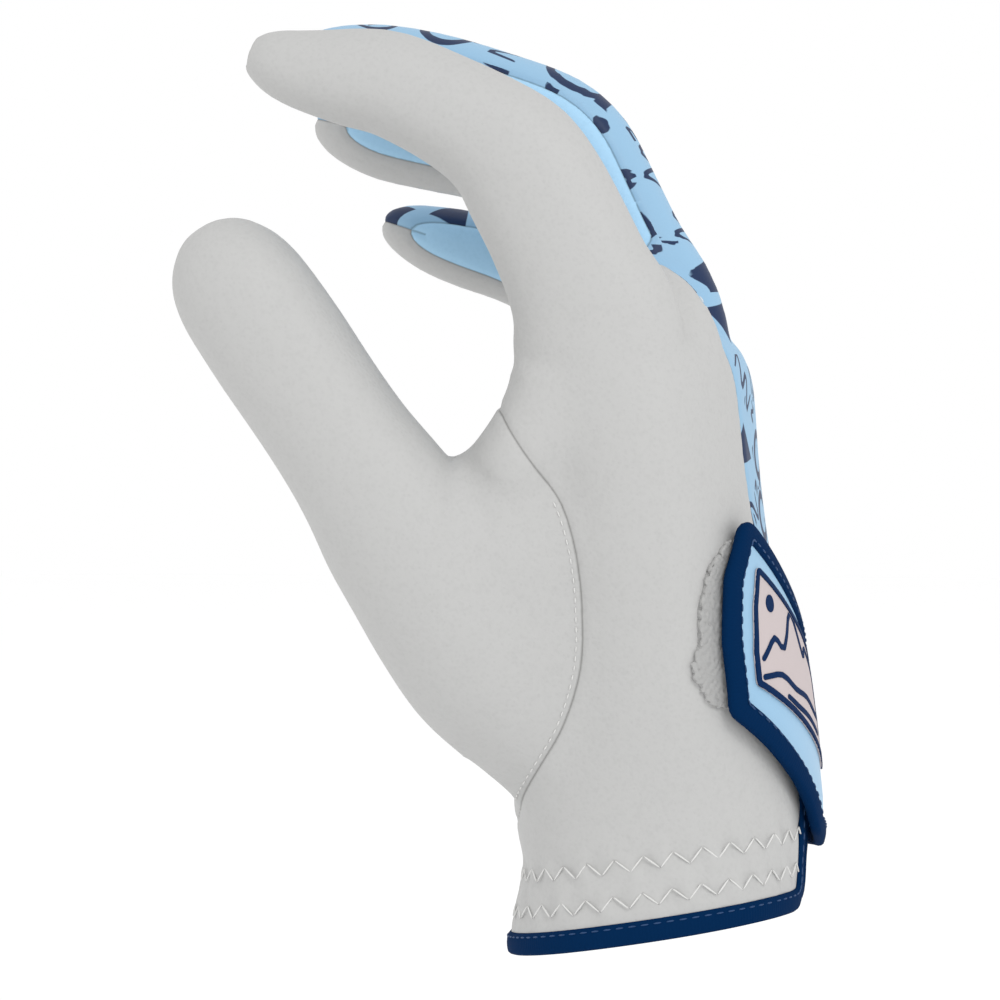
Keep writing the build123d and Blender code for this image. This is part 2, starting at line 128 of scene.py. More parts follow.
THUMB_WEB = [
    (-44, -34.5, 64, 13, 11), (-31, -31.5, 70, 17.6, 12.6), (-18, -28.5, 75, 18.6, 12.8),
    (-5, -24, 77, 17, 12)]
THUMB_ROOT = [
    (-6, -14, 26, 9, 12), (-12, -19, 42, 11, 14), (-16, -23.5, 56, 12.5, 14.5), (-18, -26, 68, 13, 14.3),
    (-17, -26.5, 78, 12.5, 13.2), (-15, -26, 85, 10, 12)]
WEB_EDGE = [(-22, -32.5, 84, 10, 11.5), (-15.5, -32.5, 94, 9.5, 11), (-12, -32.5, 104, 8.8, 10.4)]
THUMB_ACROSS, WEB_ACROSS = Vector((0.18, 1, 0)), Vector((0.1, 1, 0))
GROW = 0.35              # what relaxing takes off a finger
HAND_POINTS, LIMB_POINTS = 72, 40
VOXEL = 0.95
RELAX_ROUNDS = 11
EASE_ROUNDS = 70         # more relaxing where the thumb's root runs into the palm
EASE_LOW, EASE_HIGH = Vector((-32, -60, 14)) * MM, Vector((9, -9, 104)) * MM

# %% Tubes
def spline(rows, steps):
    """Rows filled in smoothly between the given ones, by a Catmull-Rom curve."""
    rows = np.array(rows, float)
    padded = np.vstack([2 * rows[0] - rows[1], rows, 2 * rows[-1] - rows[-2]])
    out = []
    for a, b, c, d in zip(padded, padded[1:], padded[2:], padded[3:]):
        slope, bend, twist = c - a, 2 * a - 5 * b + 4 * c - d, 3 * b - a - 3 * c + d
        for t in np.arange(steps) / steps:
            out.append(0.5 * (2 * b + slope * t + bend * t ** 2 + twist * t ** 3))
    return np.array(out + [rows[-1]])


def add_ring(bm, centre, across, along, wide, thick):
    """A closed ring of edges, square to along, wide in the across direction."""
    x = (across - along * across.dot(along)).normalized()
    place = Matrix((x * wide, along.cross(x) * thick, along)).transposed().to_4x4()
    place.translation = centre
    return bmesh.ops.create_circle(bm, segments=LIMB_POINTS, radius=1, matrix=place)["verts"]


def close_tube(bm, rings):
    """Skins a row of rings and closes both ends."""
    for a, b in zip(rings, rings[1:]):
        near = {e for v in (*a, *b) for e in v.link_edges}
        edges = [e for e in near if set(e.verts) <= set(a) or set(e.verts) <= set(b)]
        bmesh.ops.bridge_loops(bm, edges=edges)
    for end in (rings[0], rings[-1]):
        bmesh.ops.contextual_create(bm, geom=end)


def add_limb(bm, rows, across):
    """A closed tube along rows of x, y, z, half thickness, half width."""
    rows = spline(rows, 3) * MM
    rings = []
    for i, (x, y, z, thick, wide) in enumerate(rows):
        before, after = rows[max(i - 1, 0)][:3], rows[min(i + 1, len(rows) - 1)][:3]
        rings.append(add_ring(bm, Vector((x, y, z)), across, Vector(after - before).normalized(), wide, thick))
    close_tube(bm, rings)


def finger_rows(y, lean, rows, root_z):
    """A finger's rows moved from its own plane into the hand."""
    s, c = math.sin(math.radians(lean)), math.cos(math.radians(lean))
    return [(x, y + (z - root_z) * s, root_z + (z - root_z) * c, t + GROW, w) for x, z, t, w in rows]


ROOT_Z = {"index": 114.0, "middle": 119.0, "ring": 114.0, "little": 101.0}


def leaning(lean):
    """The direction across a finger that leans so many degrees."""
    return Vector((0, math.cos(math.radians(lean)), -math.sin(math.radians(lean))))


def add_object(name, data):
    made = bpy.data.objects.new(name, data)
    bpy.context.scene.collection.objects.link(made)
    return made


# %% Form
def lay_tubes():
    """All the tubes of the hand in one mesh, still crossing each other."""
    bm = bmesh.new()
    rings = []
    for z, cx, a, cy, b, square, droop in spline(HAND, 2):
        ring = bmesh.ops.create_circle(bm, segments=HAND_POINTS, radius=1)["verts"]
        for v in ring:
            px = math.copysign(abs(v.co.x) ** (2 / square), v.co.x) * a
            py = math.copysign(abs(v.co.y) ** (2 / square), v.co.y) * b
            lean = droop * max(py / b, 0) ** 1.5
            v.co = Vector((cx + px - lean, cy + py, z)) * MM
        rings.append(ring)
    close_tube(bm, rings)
    for name, (y, lean, rows) in FINGERS.items():
        add_limb(bm, finger_rows(y, lean, rows, ROOT_Z[name]), leaning(lean))
    for y, lean, rows in WEBS:
        add_limb(bm, finger_rows(y, lean, rows, WEB_FOOT), leaning(lean))
    add_limb(bm, THUMB, THUMB_ACROSS)
    for rows in (THUMB_WEB, THUMB_ROOT, WEB_EDGE):
        add_limb(bm, rows, WEB_ACROSS)
    bmesh.ops.recalc_face_normals(bm, faces=bm.faces)
    mesh = bpy.data.meshes.new("form")
    bm.to_mesh(mesh)
    bm.free()
    return mesh


def hand_form():
    """The tubes joined into one skin and relaxed."""
    tubes = add_object("form", lay_tubes())
    remesh = tubes.modifiers.new("join", "REMESH")
    remesh.mode = "VOXEL"
    remesh.voxel_size = VOXEL * MM
    relax = tubes.modifiers.new("relax", "SMOOTH")
    relax.factor = 0.5
    relax.iterations = RELAX_ROUNDS
    bpy.context.view_layer.update()
    made = bpy.data.meshes.new_from_object(tubes.evaluated_get(bpy.context.evaluated_depsgraph_get()))
    bpy.data.objects.remove(tubes)
    bm = bmesh.new()
    bm.from_mesh(made)
    root = [v for v in bm.verts if all(l < c < h for l, c, h in zip(EASE_LOW, v.co, EASE_HIGH))]
    for _ in range(EASE_ROUNDS):
        bmesh.ops.smooth_vert(bm, verts=root, factor=0.5, use_axis_x=True, use_axis_y=True, use_axis_z=True)
    bm.to_mesh(made)
    bm.free()
    return made


form = hand_form()
print("form:", len(form.vertices), "points")

# %% [markdown]
# ## Cutting patterns from the form
# A real glove is sewn from flat patterns, so its seams are lines on the hand. Here each seam is a field,
# a number for every point that is zero on the seam. Edges are split where a field changes sign, so the
# panels meet exactly and the seam runs clean across the mesh. Marking seams by hand would be as good and
# slower to change.

# %% Fields
CUFF_SLOPE, CUFF_DROP = 9.0, -2.8
CUFF_UP = np.array([-math.sin(math.radians(CUFF_SLOPE)), 0, math.cos(math.radians(CUFF_SLOPE))])
SLIT_LOW, SLIT_HIGH = (8.0, -14.0, 6.2), (-1.0, 53.0, 1.5)     # y, z, half width
CORNER = 7.0
THUMB_SEAM = [
    (-22, 97), (-15, 87), (-10.4, 80), (-7.8, 71), (-7.0, 60), (-7.6, 49), (-11, 38.5), (-15.5, 31), (-23, 21)]
THUMB_PALM_Y, THUMB_ROUND = -6.0, 6.0
BACK_SEAM = [(-22.4, 150), (-22.2, 124), (-19.5, 112), (-15.5, 99), (-11.5, 82), (-7, 66), (-3, 54), (-1, 48)]
SIDE_SEAM_X, SIDE_ROUND = -2.0, 4.0
SIDE_SHARE = 0.80
STRIP_START, STRIP_TAPER, STRIP_CLOSE = 3.0, 8.0, 5.0     # how a side strip narrows to its point
BORDERS = (-22.2, -0.6, 20.2)                             # y of the crotches between the fingers
SLABS = {"index": (-99, -22.2), "middle": (-22.2, -0.6), "ring": (-0.6, 20.2), "little": (20.2, 99)}
ROOTS = {"index": (-3.0, 114.0), "middle": (-3.5, 119.0), "ring": (-5.0, 114.0), "little": (-8.5, 101.0)}
MIDDLES = {"index": (-21.2, 147.3), "middle": (-11.2, 150.1), "ring": (-18.0, 144.8), "little": (-22.4, 125.6)}
FOURCHETTES = {"index": (1,), "middle": (-1, 1), "ring": (-1, 1), "little": (-1,)}
FAR = 1e9


def to_segment(q, a, b):
    """Share along a segment of the nearest place to each 2-D point, and the distance to it."""
    t = np.clip((q - a) @ (b - a) / ((b - a) @ (b - a)), 0, 1)
    return t, np.linalg.norm(q - a - t[:, None] * (b - a), axis=1)

def cuff_height(p):
    """Height over the slanting edge of the cuff."""
    return (p - np.array([0, 0, CUFF_DROP])) @ CUFF_UP


def blend_min(a, b, k):
    """The smaller of two fields, rounded where they cross."""
    h = np.clip(0.5 + 0.5 * (b - a) / k, 0, 1)
    return b * (1 - h) + a * h - k * h * (1 - h)


def slit_distance(p):
    """Distance outside the slit, a long drop shape seen from the back."""
    t, d = to_segment(p[:, 1:3], np.array(SLIT_LOW[:2]), np.array(SLIT_HIGH[:2]))
    return np.where(p[:, 0] > 0, d - (SLIT_LOW[2] + t * (SLIT_HIGH[2] - SLIT_LOW[2])), 50.0)


def opening(p):
    """Positive on the leather, negative past the cuff and in the slit."""
    return blend_min(cuff_height(p), slit_distance(p), CORNER)


def line_side(q, line):
    """Signed distance of 2-D points from a bent line: positive on its left."""
    best = np.full(len(q), FAR)
    sign = np.ones(len(q))
    line = np.array(line, float)
    for a, b in zip(line, line[1:]):
        _, d = to_segment(q, a, b)
        cross = (b - a)[0] * (q - a)[:, 1] - (b - a)[1] * (q - a)[:, 0]
        near = d < best
        best = np.where(near, d, best)
        sign = np.where(near, np.where(cross >= 0, 1.0, -1.0), sign)
    return best * sign


def thumb_field(p):
    """Positive on the thumb's panel."""
    side = -line_side(p[:, [0, 2]], spline(THUMB_SEAM, 4))
    return blend_min(side, THUMB_PALM_Y - p[:, 1], THUMB_ROUND)


def back_field(p):
    """Positive on the printed back."""
    line = line_side(p[:, 1:3], spline(BACK_SEAM, 3))
    return blend_min(np.where(p[:, 0] > SIDE_SEAM_X - 6, line, -9.0), p[:, 0] - SIDE_SEAM_X, SIDE_ROUND)


def unit(v):
    return np.array(v, float) / np.linalg.norm(v)


class FingerSpace:
    """Coordinates in a finger's own leaning plane."""

    def __init__(self, name):
        y, lean, rows = FINGERS[name]
        self.name, self.y, self.rows = name, y, rows
        self.across = np.array(leaning(lean))
        self.rise = np.array([0, math.sin(math.radians(lean)), math.cos(math.radians(lean))])
        self.root, self.middle = ROOTS[name], MIDDLES[name]
        self.base = unit(np.subtract(self.middle, self.root))
        self.at_root = unit(unit((-0.12, 1.0)) + self.base)
        self.edge = SIDE_SHARE * rows[-6][3]

    def flat(self, p):
        """u across the finger, x and z in its plane."""
        rel = p - np.array([0, self.y, self.root[1]])
        return rel @ self.across, p[:, 0], self.root[1] + rel @ self.rise

    def place(self, x, z):
        return np.array([x, self.y, self.root[1]]) + self.rise * (z - self.root[1])

    def past(self, p, direction):
        """How far past the root joint the points are, in a direction of the finger's plane."""
        _, x, z = self.flat(p)
        return (x - self.root[0]) * direction[0] + (z - self.root[1]) * direction[1]

    def root_field(self, p):
        """Positive on the finger, negative on the hand."""
        return self.past(p, self.at_root) + 1.5

    def edge_at(self, p):
        """Half the width between the side strips. They start in a point over the crotch."""
        t = np.clip((self.past(p, self.base) - STRIP_START) / STRIP_TAPER, 0, 1)
        return self.edge + STRIP_CLOSE * (1 - t * t * (3 - 2 * t))

    def back_side(self, p):
        """Positive on the back of the finger's centre line."""
        _, x, z = self.flat(p)
        first, last = self.rows[0], self.rows[-1]
        line = [(first[0], 40)] + [r[:2] for r in self.rows] + [(last[0] - 25, last[1] + 5)]
        return -line_side(np.stack([x, z], 1), line)


SPACES = {name: FingerSpace(name) for name in FINGERS}


# %% Cutting
SNAP = 0.12              # a point this near to a seam, as a share of its edge, moves onto it


def points_of(bm):
    return np.array([v.co for v in bm.verts]) / MM


def tree_of(points):
    """A search tree of points."""
    tree = KDTree(len(points))
    for i, p in enumerate(points):
        tree.insert(p, i)
    tree.balance()
    return tree


def cut_along(bm, field, where=None):
    """Splits the mesh where the field crosses zero. Returns the places on the cut."""
    bm.verts.index_update()
    co = points_of(bm)
    value = field(co)
    allowed = np.ones(len(co), bool) if where is None else where(co)
    on_line = set()
    crossing = []
    for e in bm.edges:
        a, b = e.verts
        fa, fb = value[a.index], value[b.index]
        if fa * fb < 0 and allowed[a.index] and allowed[b.index]:
            crossing.append((e, a, b, fa / (fa - fb)))
    for e, a, b, t in crossing:
        for v, share in ((a, t), (b, 1 - t)):
            if share < SNAP and v not in on_line:
                other = b if v is a else a
                v.co = v.co.lerp(other.co, share)
                on_line.add(v)
    for e, a, b, t in crossing:
        if a in on_line or b in on_line:
            continue
        place = a.co.lerp(b.co, t)
        new = bmesh.utils.edge_split(e, a, t)[1]
        new.co = place
        on_line.add(new)
    bmesh.ops.connect_verts(bm, verts=list(on_line))
    return [v.co.copy() for v in on_line]


def take(bm, keep):
    """A copy of the faces whose centres keep() accepts."""
    centres = np.array([f.calc_center_median() for f in bm.faces]) / MM
    chosen = keep(centres)
    copy = bm.copy()
    copy.faces.ensure_lookup_table()
    unwanted = [f for f, c in zip(copy.faces, chosen) if not c]
    bmesh.ops.delete(copy, geom=unwanted, context="FACES")
    return copy


limb_places, limb_names = [], []
for name, space in SPACES.items():
    limb_places += [Vector(space.place(row[0], row[1])) for row in spline(space.rows[2:], 6)]
    limb_names += [name] * (len(limb_places) - len(limb_names))
limb_places += [Vector(row[:3]) for row in spline(THUMB[5:], 6)]
limb_names += ["thumb"] * (len(limb_places) - len(limb_names))
limb_tree = tree_of(limb_places)
FINGER_FLOOR = 85        # no finger's leather reaches below this height


def on_thumb(p):
    """Which points are nearer to the thumb than to a finger."""
    return np.array([limb_names[limb_tree.find(Vector(q))[1]] == "thumb" for q in p])


def off_thumb(p, floor=FINGER_FLOOR):
    return (p[:, 2] > floor) & ~on_thumb(p)


whole = bmesh.new()
whole.from_mesh(form)
smooth_tree = tree_of([v.co for v in whole.verts])
smooth_normals = [v.normal.copy() for v in whole.verts]


def form_normal(co):
    """The form's own normal at a point, the same for panels that meet there."""
    total = Vector()
    for _, index, distance in smooth_tree.find_n(co, 4):
        total += smooth_normals[index] / (distance + 1e-5)
    return total.normalized()


for name, space in SPACES.items():
    low, high = SLABS[name]
    cut_along(whole, space.root_field, lambda p: (p[:, 1] > low - 2) & (p[:, 1] < high + 2) & off_thumb(p))
for border in BORDERS:
    cut_along(whole, lambda p: p[:, 1] - border, lambda p: (abs(p[:, 1] - border) < 4) & off_thumb(p, 92))


def finger_mask(name, p):
    low, high = SLABS[name]
    return (p[:, 1] > low) & (p[:, 1] < high) & (SPACES[name].root_field(p) > 0) & off_thumb(p)


def hand_mask(p):
    return ~np.any([finger_mask(name, p) for name in SPACES], axis=0)


def thumb_mask(p):
    return (thumb_field(p) > 0) | ((p[:, 2] > FINGER_FLOOR) & on_thumb(p))


chunks = {name: take(whole, lambda p, n=name: finger_mask(n, p)) for name in SPACES}
hand_chunk = take(whole, hand_mask)
thumb_seam_points = cut_along(hand_chunk, thumb_field, lambda p: (p[:, 1] < 20) & (p[:, 2] < 112))
thumb_chunk = take(hand_chunk, thumb_mask)
hand_chunk = take(hand_chunk, lambda p: ~thumb_mask(p))
cut_along(hand_chunk, opening)
hand_chunk = take(hand_chunk, lambda p: opening(p) > 0)
back_seam_points = cut_along(hand_chunk, back_field)
print("faces: hand", len(hand_chunk.faces), "thumb", len(thumb_chunk.faces))
print("faces:", {name: len(chunk.faces) for name, chunk in chunks.items()})

# %% [markdown]
# ## Materials
# Each finish is named for the real one. Cabretta is thin hairsheep leather with a fine, even grain: it is
# matt, and its pores only show at a glancing light, so the grain is a small bump and a hair of colour.
# Grain could be a scanned texture; noise in millimetres repeats nowhere and needs no file.

# %% Material helpers
def linear(colour):
    """An sRGB hex colour as linear RGBA."""
    parts = [int(colour[i:i + 2], 16) / 255 for i in (1, 3, 5)]
    return (*[c / 12.92 if c <= 0.04045 else ((c + 0.055) / 1.055) ** 2.4 for c in parts], 1)


def add_node(tree, kind, settings=None, **links):
    """Adds a node. Settings are its properties, links go to its inputs by name or by place (in_0, in_1)."""
    made = tree.nodes.new(kind)
    for key, value in (settings or {}).items():
        setattr(made, key, value)
    for key, value in links.items():
        socket = made.inputs[int(key[3:])] if key.startswith("in_") else made.inputs[key.replace("_", " ")]
        if isinstance(value, bpy.types.NodeSocket):
            tree.links.new(value, socket)
        else:
            socket.default_value = value
    return made


def finish_of(name, colour, roughness, **sockets):
    """A material with its shader. Returns material, node tree and shader."""
    material = bpy.data.materials.new(name)
    material.use_nodes = True
    tree = material.node_tree
    shader = tree.nodes["Principled BSDF"]
    shader.inputs["Base Color"].default_value = linear(colour)
    shader.inputs["Roughness"].default_value = roughness
    shader.inputs["IOR"].default_value = 1.5
    for key, value in sockets.items():
        shader.inputs[key.replace("_", " ")].default_value = value
    return material, tree, shader


CREASE = 16.0            # mm from one soft crease to the next
SEAM_SHADE = 0.36        # mm of shadow beside a seam


def grain(tree, shader, size, depth, creases=0.0):
    """Leather grain: pores of that size in mm, standing that deep in mm, and wider soft creases."""
    place = add_node(tree, "ShaderNodeTexCoord").outputs["Object"]
    pores = add_node(tree, "ShaderNodeTexVoronoi", {"feature": "SMOOTH_F1"}, Vector=place, Scale=1000 / size)
    soft = add_node(tree, "ShaderNodeTexNoise", Vector=place, Scale=1000 / (size * 2.4), Detail=4.0)
    both = add_node(tree, "ShaderNodeMath", {"operation": "ADD"}, in_0=pores.outputs["Distance"],
                    in_1=soft.outputs[0])
    fine = add_node(tree, "ShaderNodeBump", Height=both.outputs[0], Strength=0.5, Distance=depth * MM)
    if creases:
        folds = add_node(tree, "ShaderNodeTexNoise", Vector=place, Scale=1000 / CREASE, Detail=2.0,
                         Distortion=0.6)
        fine = add_node(tree, "ShaderNodeBump", Height=folds.outputs[0], Strength=0.6, Distance=creases * MM,
                        Normal=fine.outputs[0])
    tree.links.new(fine.outputs[0], shader.inputs["Normal"])
    return both.outputs[0]


def mixed(tree, factor, first, second, blend="MIX"):
    """Two colours mixed. A colour is a hex word or a socket."""
    mix = add_node(tree, "ShaderNodeMix", {"data_type": "RGBA", "blend_type": blend}, in_0=factor)
    for place, colour in ((6, first), (7, second)):
        if isinstance(colour, str):
            mix.inputs[place].default_value = linear(colour)
        else:
            tree.links.new(colour, mix.inputs[place])
    return mix.outputs[2]


def seam_shade(tree, shader, colour):
    """Painted shade in a sewn groove: the colour is multiplied darker near a seam. The mesh carries each
    point's distance from a seam, in mm.
    """
    distance = add_node(tree, "ShaderNodeAttribute", {"attribute_name": "seam"}).outputs["Fac"]
    line = add_node(tree, "ShaderNodeMapRange", in_0=distance, in_1=0.0, in_2=SEAM_SHADE, in_3=0.85, in_4=0.0)
    # painted shade: the colour is multiplied towards #B4B4B2 within SEAM_SHADE mm of a seam
    shaded = mixed(tree, line.outputs[0], colour, "#B4B4B2", "MULTIPLY")
    tree.links.new(shaded, shader.inputs["Base Color"])


def tinted(tree, shader, height, light, dark):
    """The colour a little darker in the hollows of the grain, with painted shade along the seams."""
    seam_shade(tree, shader, mixed(tree, height, dark, light))


# %% [markdown]
# The leathers are one hide in three colours, so they share the grain and the painted shade along the seams.
# The binding is ribbed tape, the tab a smoother coated cloth. Each keeps its own low shine, for they would
# look like plastic with the usual one.

# %% Leathers
RIB = 0.7                # mm from one rib of the tape to the next


def white_cabretta():
    """Hairsheep leather, drum dyed white with a matt finish: soft, even, nearly no shine."""
    material, tree, shader = finish_of("white_cabretta_matt_finish", "#B1B1B0", 0.58, Specular_IOR_Level=0.32)
    tinted(tree, shader, grain(tree, shader, 0.8, 0.12, 0.7), "#B4B4B3", "#ADADAC")
    return material


def blue_leather():
    """The same leather dyed light blue, for the strips between the fingers."""
    material, tree, shader = finish_of("light_blue_cabretta_drum_dyed", "#A0C9E4", 0.55,
                                       Specular_IOR_Level=0.35)
    tinted(tree, shader, grain(tree, shader, 0.75, 0.05, 0.3), "#9FC8E4", "#98C1DD")
    return material


def woven_tape():
    """Navy grosgrain binding: fine ribs across the tape catch soft bands of light."""
    material, tree, shader = finish_of("navy_grosgrain_tape", "#022449", 0.8, Specular_IOR_Level=0.03)
    mm = add_node(tree, "ShaderNodeUVMap", {"uv_map": "mm"})
    ribs = add_node(tree, "ShaderNodeTexWave", {"wave_type": "BANDS", "bands_direction": "X"},
                    Vector=mm.outputs[0], Scale=100 / RIB / 6.283 * 2, Distortion=0.4)
    bump = add_node(tree, "ShaderNodeBump", Height=ribs.outputs[0], Strength=0.35, Distance=0.08 * MM)
    tree.links.new(bump.outputs[0], shader.inputs["Normal"])
    return material


def plain(name, colour, roughness, size=0.5, depth=0.04, **sockets):
    """One even colour with a fine grain of that size and depth in mm."""
    material, tree, shader = finish_of(name, colour, roughness, **sockets)
    grain(tree, shader, size, depth)
    return material


# %% [markdown]
# The print on the back is a repeat of loose doodles in navy on light blue. It is drawn as distances in a
# flat map of the leather, in millimetres: the map is cut into cells, each cell turns and shifts its own
# doodle, and a stroke is where the distance to the doodle's line is under half a pen's width. A painted
# picture would do it too, but distances stay sharp at any size.

# %% Print
PEN = 0.72               # half a stroke
PRINT_CELL = 13.0
SMALL_CELL = PRINT_CELL * 0.62
TURNS = 2.4              # how far the cells turn, in radians
AWAY = 50.0


class Num:
    """A number in a node tree. Arithmetic with it adds maths nodes."""

    def __init__(self, tree, socket):
        self.tree = tree
        self.socket = socket

    def do(self, operation, *others):
        values = [self, *others]
        links = {f"in_{i}": v.socket if isinstance(v, Num) else v for i, v in enumerate(values)}
        node = add_node(self.tree, "ShaderNodeMath", {"operation": operation}, **links)
        return Num(self.tree, node.outputs[0])

    def __add__(self, other):
        return self.do("ADD", other)

    def __sub__(self, other):
        return self.do("SUBTRACT", other)

    def __mul__(self, other):
        return self.do("MULTIPLY", other)

    def __truediv__(self, other):
        return self.do("DIVIDE", other)

    def __abs__(self):
        return self.do("ABSOLUTE")

    def low(self, other):
        return self.do("MINIMUM", other)

    def high(self, other):
        return self.do("MAXIMUM", other)


def split(tree, vector):
    parts = add_node(tree, "ShaderNodeSeparateXYZ", in_0=vector).outputs
    return [Num(tree, parts[i]) for i in range(3)]


def cell_space(u, v, cell, seed, wander):
    """x and y in mm from the middle of a turned, shifted cell, and the cell's own random number."""
    tree = u.tree
    shift = seed * 0.37
    gu, gv = u / cell + shift, v / cell + shift * 1.7
    cell_at = add_node(tree, "ShaderNodeCombineXYZ", in_0=gu.do("FLOOR").socket, in_1=gv.do("FLOOR").socket,
                       in_2=float(seed))
    noise = add_node(tree, "ShaderNodeTexWhiteNoise", {"noise_dimensions": "3D"}, Vector=cell_at.outputs[0])
    r, g, b = split(tree, noise.outputs["Color"])
    x = (gu.do("FRACT") - 0.5) * cell + (r - 0.5) * wander
    y = (gv.do("FRACT") - 0.5) * cell + (g - 0.5) * wander
    angle = (b - 0.5) * TURNS
    c, s = angle.do("COSINE"), angle.do("SINE")
    return x * c + y * s, y * c - x * s, Num(tree, noise.outputs["Value"])


def length_of(x, y):
    return (x * x + y * y).do("SQRT")


def wave_stroke(x, y, swing, pitch, half):
    """A leaning pen wave, evenly thick on its slopes."""
    turn = 2 * math.pi / pitch
    lean = x * turn + y * 0.35
    slope = lean.do("COSINE") * (swing * turn)
    steep = (slope * slope + 1.0).do("SQRT")
    off = abs(y - lean.do("SINE") * swing) / steep
    return (off - PEN * 0.8).high(abs(x) - half)


def ring_stroke(x, y, radius, stretch):
    """An oval ring."""
    return abs(length_of(x * stretch, y) - radius) - PEN


def hook_stroke(x, y, radius):
    """Two thirds of a ring with a tail, like a curl of ribbon."""
    wide = PEN * 1.25
    curl = (abs(length_of(x, y) - radius) - wide).high(x.low(y * -1.0))
    tail = (abs(y + radius) - wide).high(abs(x + radius * 0.2) - radius * 0.9)
    return curl.low(tail)


def triangle_fill(x, y, size):
    """A filled triangle."""
    return (abs(x) * 0.866 + y * 0.5).high(y * -1.0) - size


def dot_fill(x, y, radius):
    return length_of(x, y) - radius


def dash_stroke(x, y, half):
    """Three short dashes side by side."""
    pitch = 2.6
    bar = abs((x / pitch + 0.5).do("FRACT") - 0.5) * pitch - PEN
    return bar.high(abs(y) - half).high(abs(x) - pitch * 1.5)


def when(value, low, high, distance):
    """The distance where the random number is in that range, and far away elsewhere."""
    outside = value.do("LESS_THAN", low).high(value.do("GREATER_THAN", high))
    return distance + outside * AWAY


def doodles(tree):
    """The whole print as one number: 1 is ink."""
    mm = add_node(tree, "ShaderNodeUVMap", {"uv_map": "mm"}).outputs[0]
    u, v = [axis * 100.0 for axis in split(tree, mm)[:2]]
    x, y, pick = cell_space(u, v, PRINT_CELL, 1, 3.0)
    large = when(pick, 0.0, 0.34, wave_stroke(x, y, 2.2, 5.4, 5.6))
    for low, high, shape in [(0.34, 0.52, ring_stroke(x, y, 4.6, 1.5)), (0.34, 0.52, triangle_fill(x, y, 1.3)),
                             (0.52, 0.72, hook_stroke(x, y, 4.2)), (0.72, 0.86, triangle_fill(x, y, 2.6)),
                             (0.86, 1.0, dash_stroke(x, y, 2.8))]:
        large = large.low(when(pick, low, high, shape))
    x, y, pick = cell_space(u, v, SMALL_CELL, 5, 2.4)
    small = when(pick, 0.0, 0.2, dot_fill(x, y, 1.2))
    small = small.low(when(pick, 0.3, 0.5, wave_stroke(x, y, 0.8, 2.8, 3.4)))
    small = small.low(when(pick, 0.55, 0.7, ring_stroke(x, y, 1.6, 1.0)))
    clear = large * -1.0 + 1.1          # the small shapes keep clear of the large ones
    total = large.low(small.high(clear))
    return add_node(tree, "ShaderNodeMapRange", {"interpolation_type": "SMOOTHSTEP"}, in_0=total.socket,
                    in_1=-0.10, in_2=0.10, in_3=1.0, in_4=0.0).outputs[0]


def printed_leather():
    """Light blue leather, screen printed in navy: the ink lies in the grain and shines no more than it."""
    material, tree, shader = finish_of("printed_cabretta_navy_on_light_blue", "#A6CFEA", 0.5,
                                       Specular_IOR_Level=0.35)
    grain(tree, shader, 0.75, 0.045, 0.25)
    # navy print on light blue, with painted shade along the seams
    seam_shade(tree, shader, mixed(tree, doodles(tree), "#8CB2CE", "#03234A"))
    return material


WHITE, BLUE, PRINT, TAPE = white_cabretta(), blue_leather(), printed_leather(), woven_tape()
# light blue coated synthetic on the closing tab: smoother and a touch glossier than the leather
TAB_BLUE = plain("light_blue_coated_tab", "#8DB5D2", 0.42, 0.5, 0.03)
# twisted thread: bright, with a faint shine on each stitch
THREAD = plain("white_polyester_thread_twisted", "#D2D2D0", 0.6, 0.25, 0.05)
TAPE_STITCH = plain("navy_polyester_thread_twisted", "#0C3A68", 0.55, 0.25, 0.05)
# knitted elastic: dull and slightly rough
ELASTIC = plain("white_knitted_elastic", "#DCDCDA", 0.8, 0.6, 0.1)
# loop pile: a soft fuzz with a pale halo. The pile is white; its base colour is darkened to grey as painted
# shadow of the tab that lies over it
SHADOWED_LOOP_PILE = plain("white_loop_pile_knitted_painted_shadow", "#A3A3A2", 0.95, 0.9, 0.5, Sheen_Weight=0.3)
# moulded hooks: hard plastic, rough to the eye
HOOK = plain("white_moulded_hook_strip", "#DFDFDD", 0.45, 0.9, 0.2)
# flocked badge and its rubber print: both dull, the ink nearly without shine
BADGE_FILL = plain("warm_grey_flocked_badge", "#BCB1B1", 0.8, 0.4, 0.05)
BADGE_INK = plain("navy_rubber_print", "#04254D", 0.7, 0.5, 0.02, Specular_IOR_Level=0.06)
print("materials:", sorted(m.name for m in bpy.data.materials))

# %% [markdown]
# ## Panels
# Every panel is cut from the form, so neighbours share their seam points. At a sewn seam the leather is
# drawn in, which leaves a fine groove. Then the panel gets the leather's thickness inwards. The groove is
# real geometry, so that it also shows on the mesh that others use.

# %% Panel tools
LEATHER = 0.8
GROOVE = 0.42            # how far a seam is drawn in
GROOVE_REACH = 1.3
SEWN_NEAR = 0.6          # an edge this near to a seam is a sewn one
MAP_START = 100          # height where the flat map starts to follow a finger
MAP_UNIT = 100           # mm to one unit of the map


def mesh_object(name, bm, material):
    """A smooth object made of the faces."""
    mesh = bpy.data.meshes.new(name)
    bm.to_mesh(mesh)
    bm.free()
    mesh.materials.append(material)
    for face in mesh.polygons:
        face.use_smooth = True
    return add_object(name, mesh)


def line_length(rows):
    """Points and running length of a finger's back line."""
    line = spline(rows, 4)[:, :2]
    line = line[line[:, 1] > MAP_START]
    steps = np.linalg.norm(np.diff(line, axis=0), axis=1)
    return line, MAP_START + np.concatenate([[0], np.cumsum(steps)])


FINGER_LINES = {name: line_length(space.rows) for name, space in SPACES.items()}


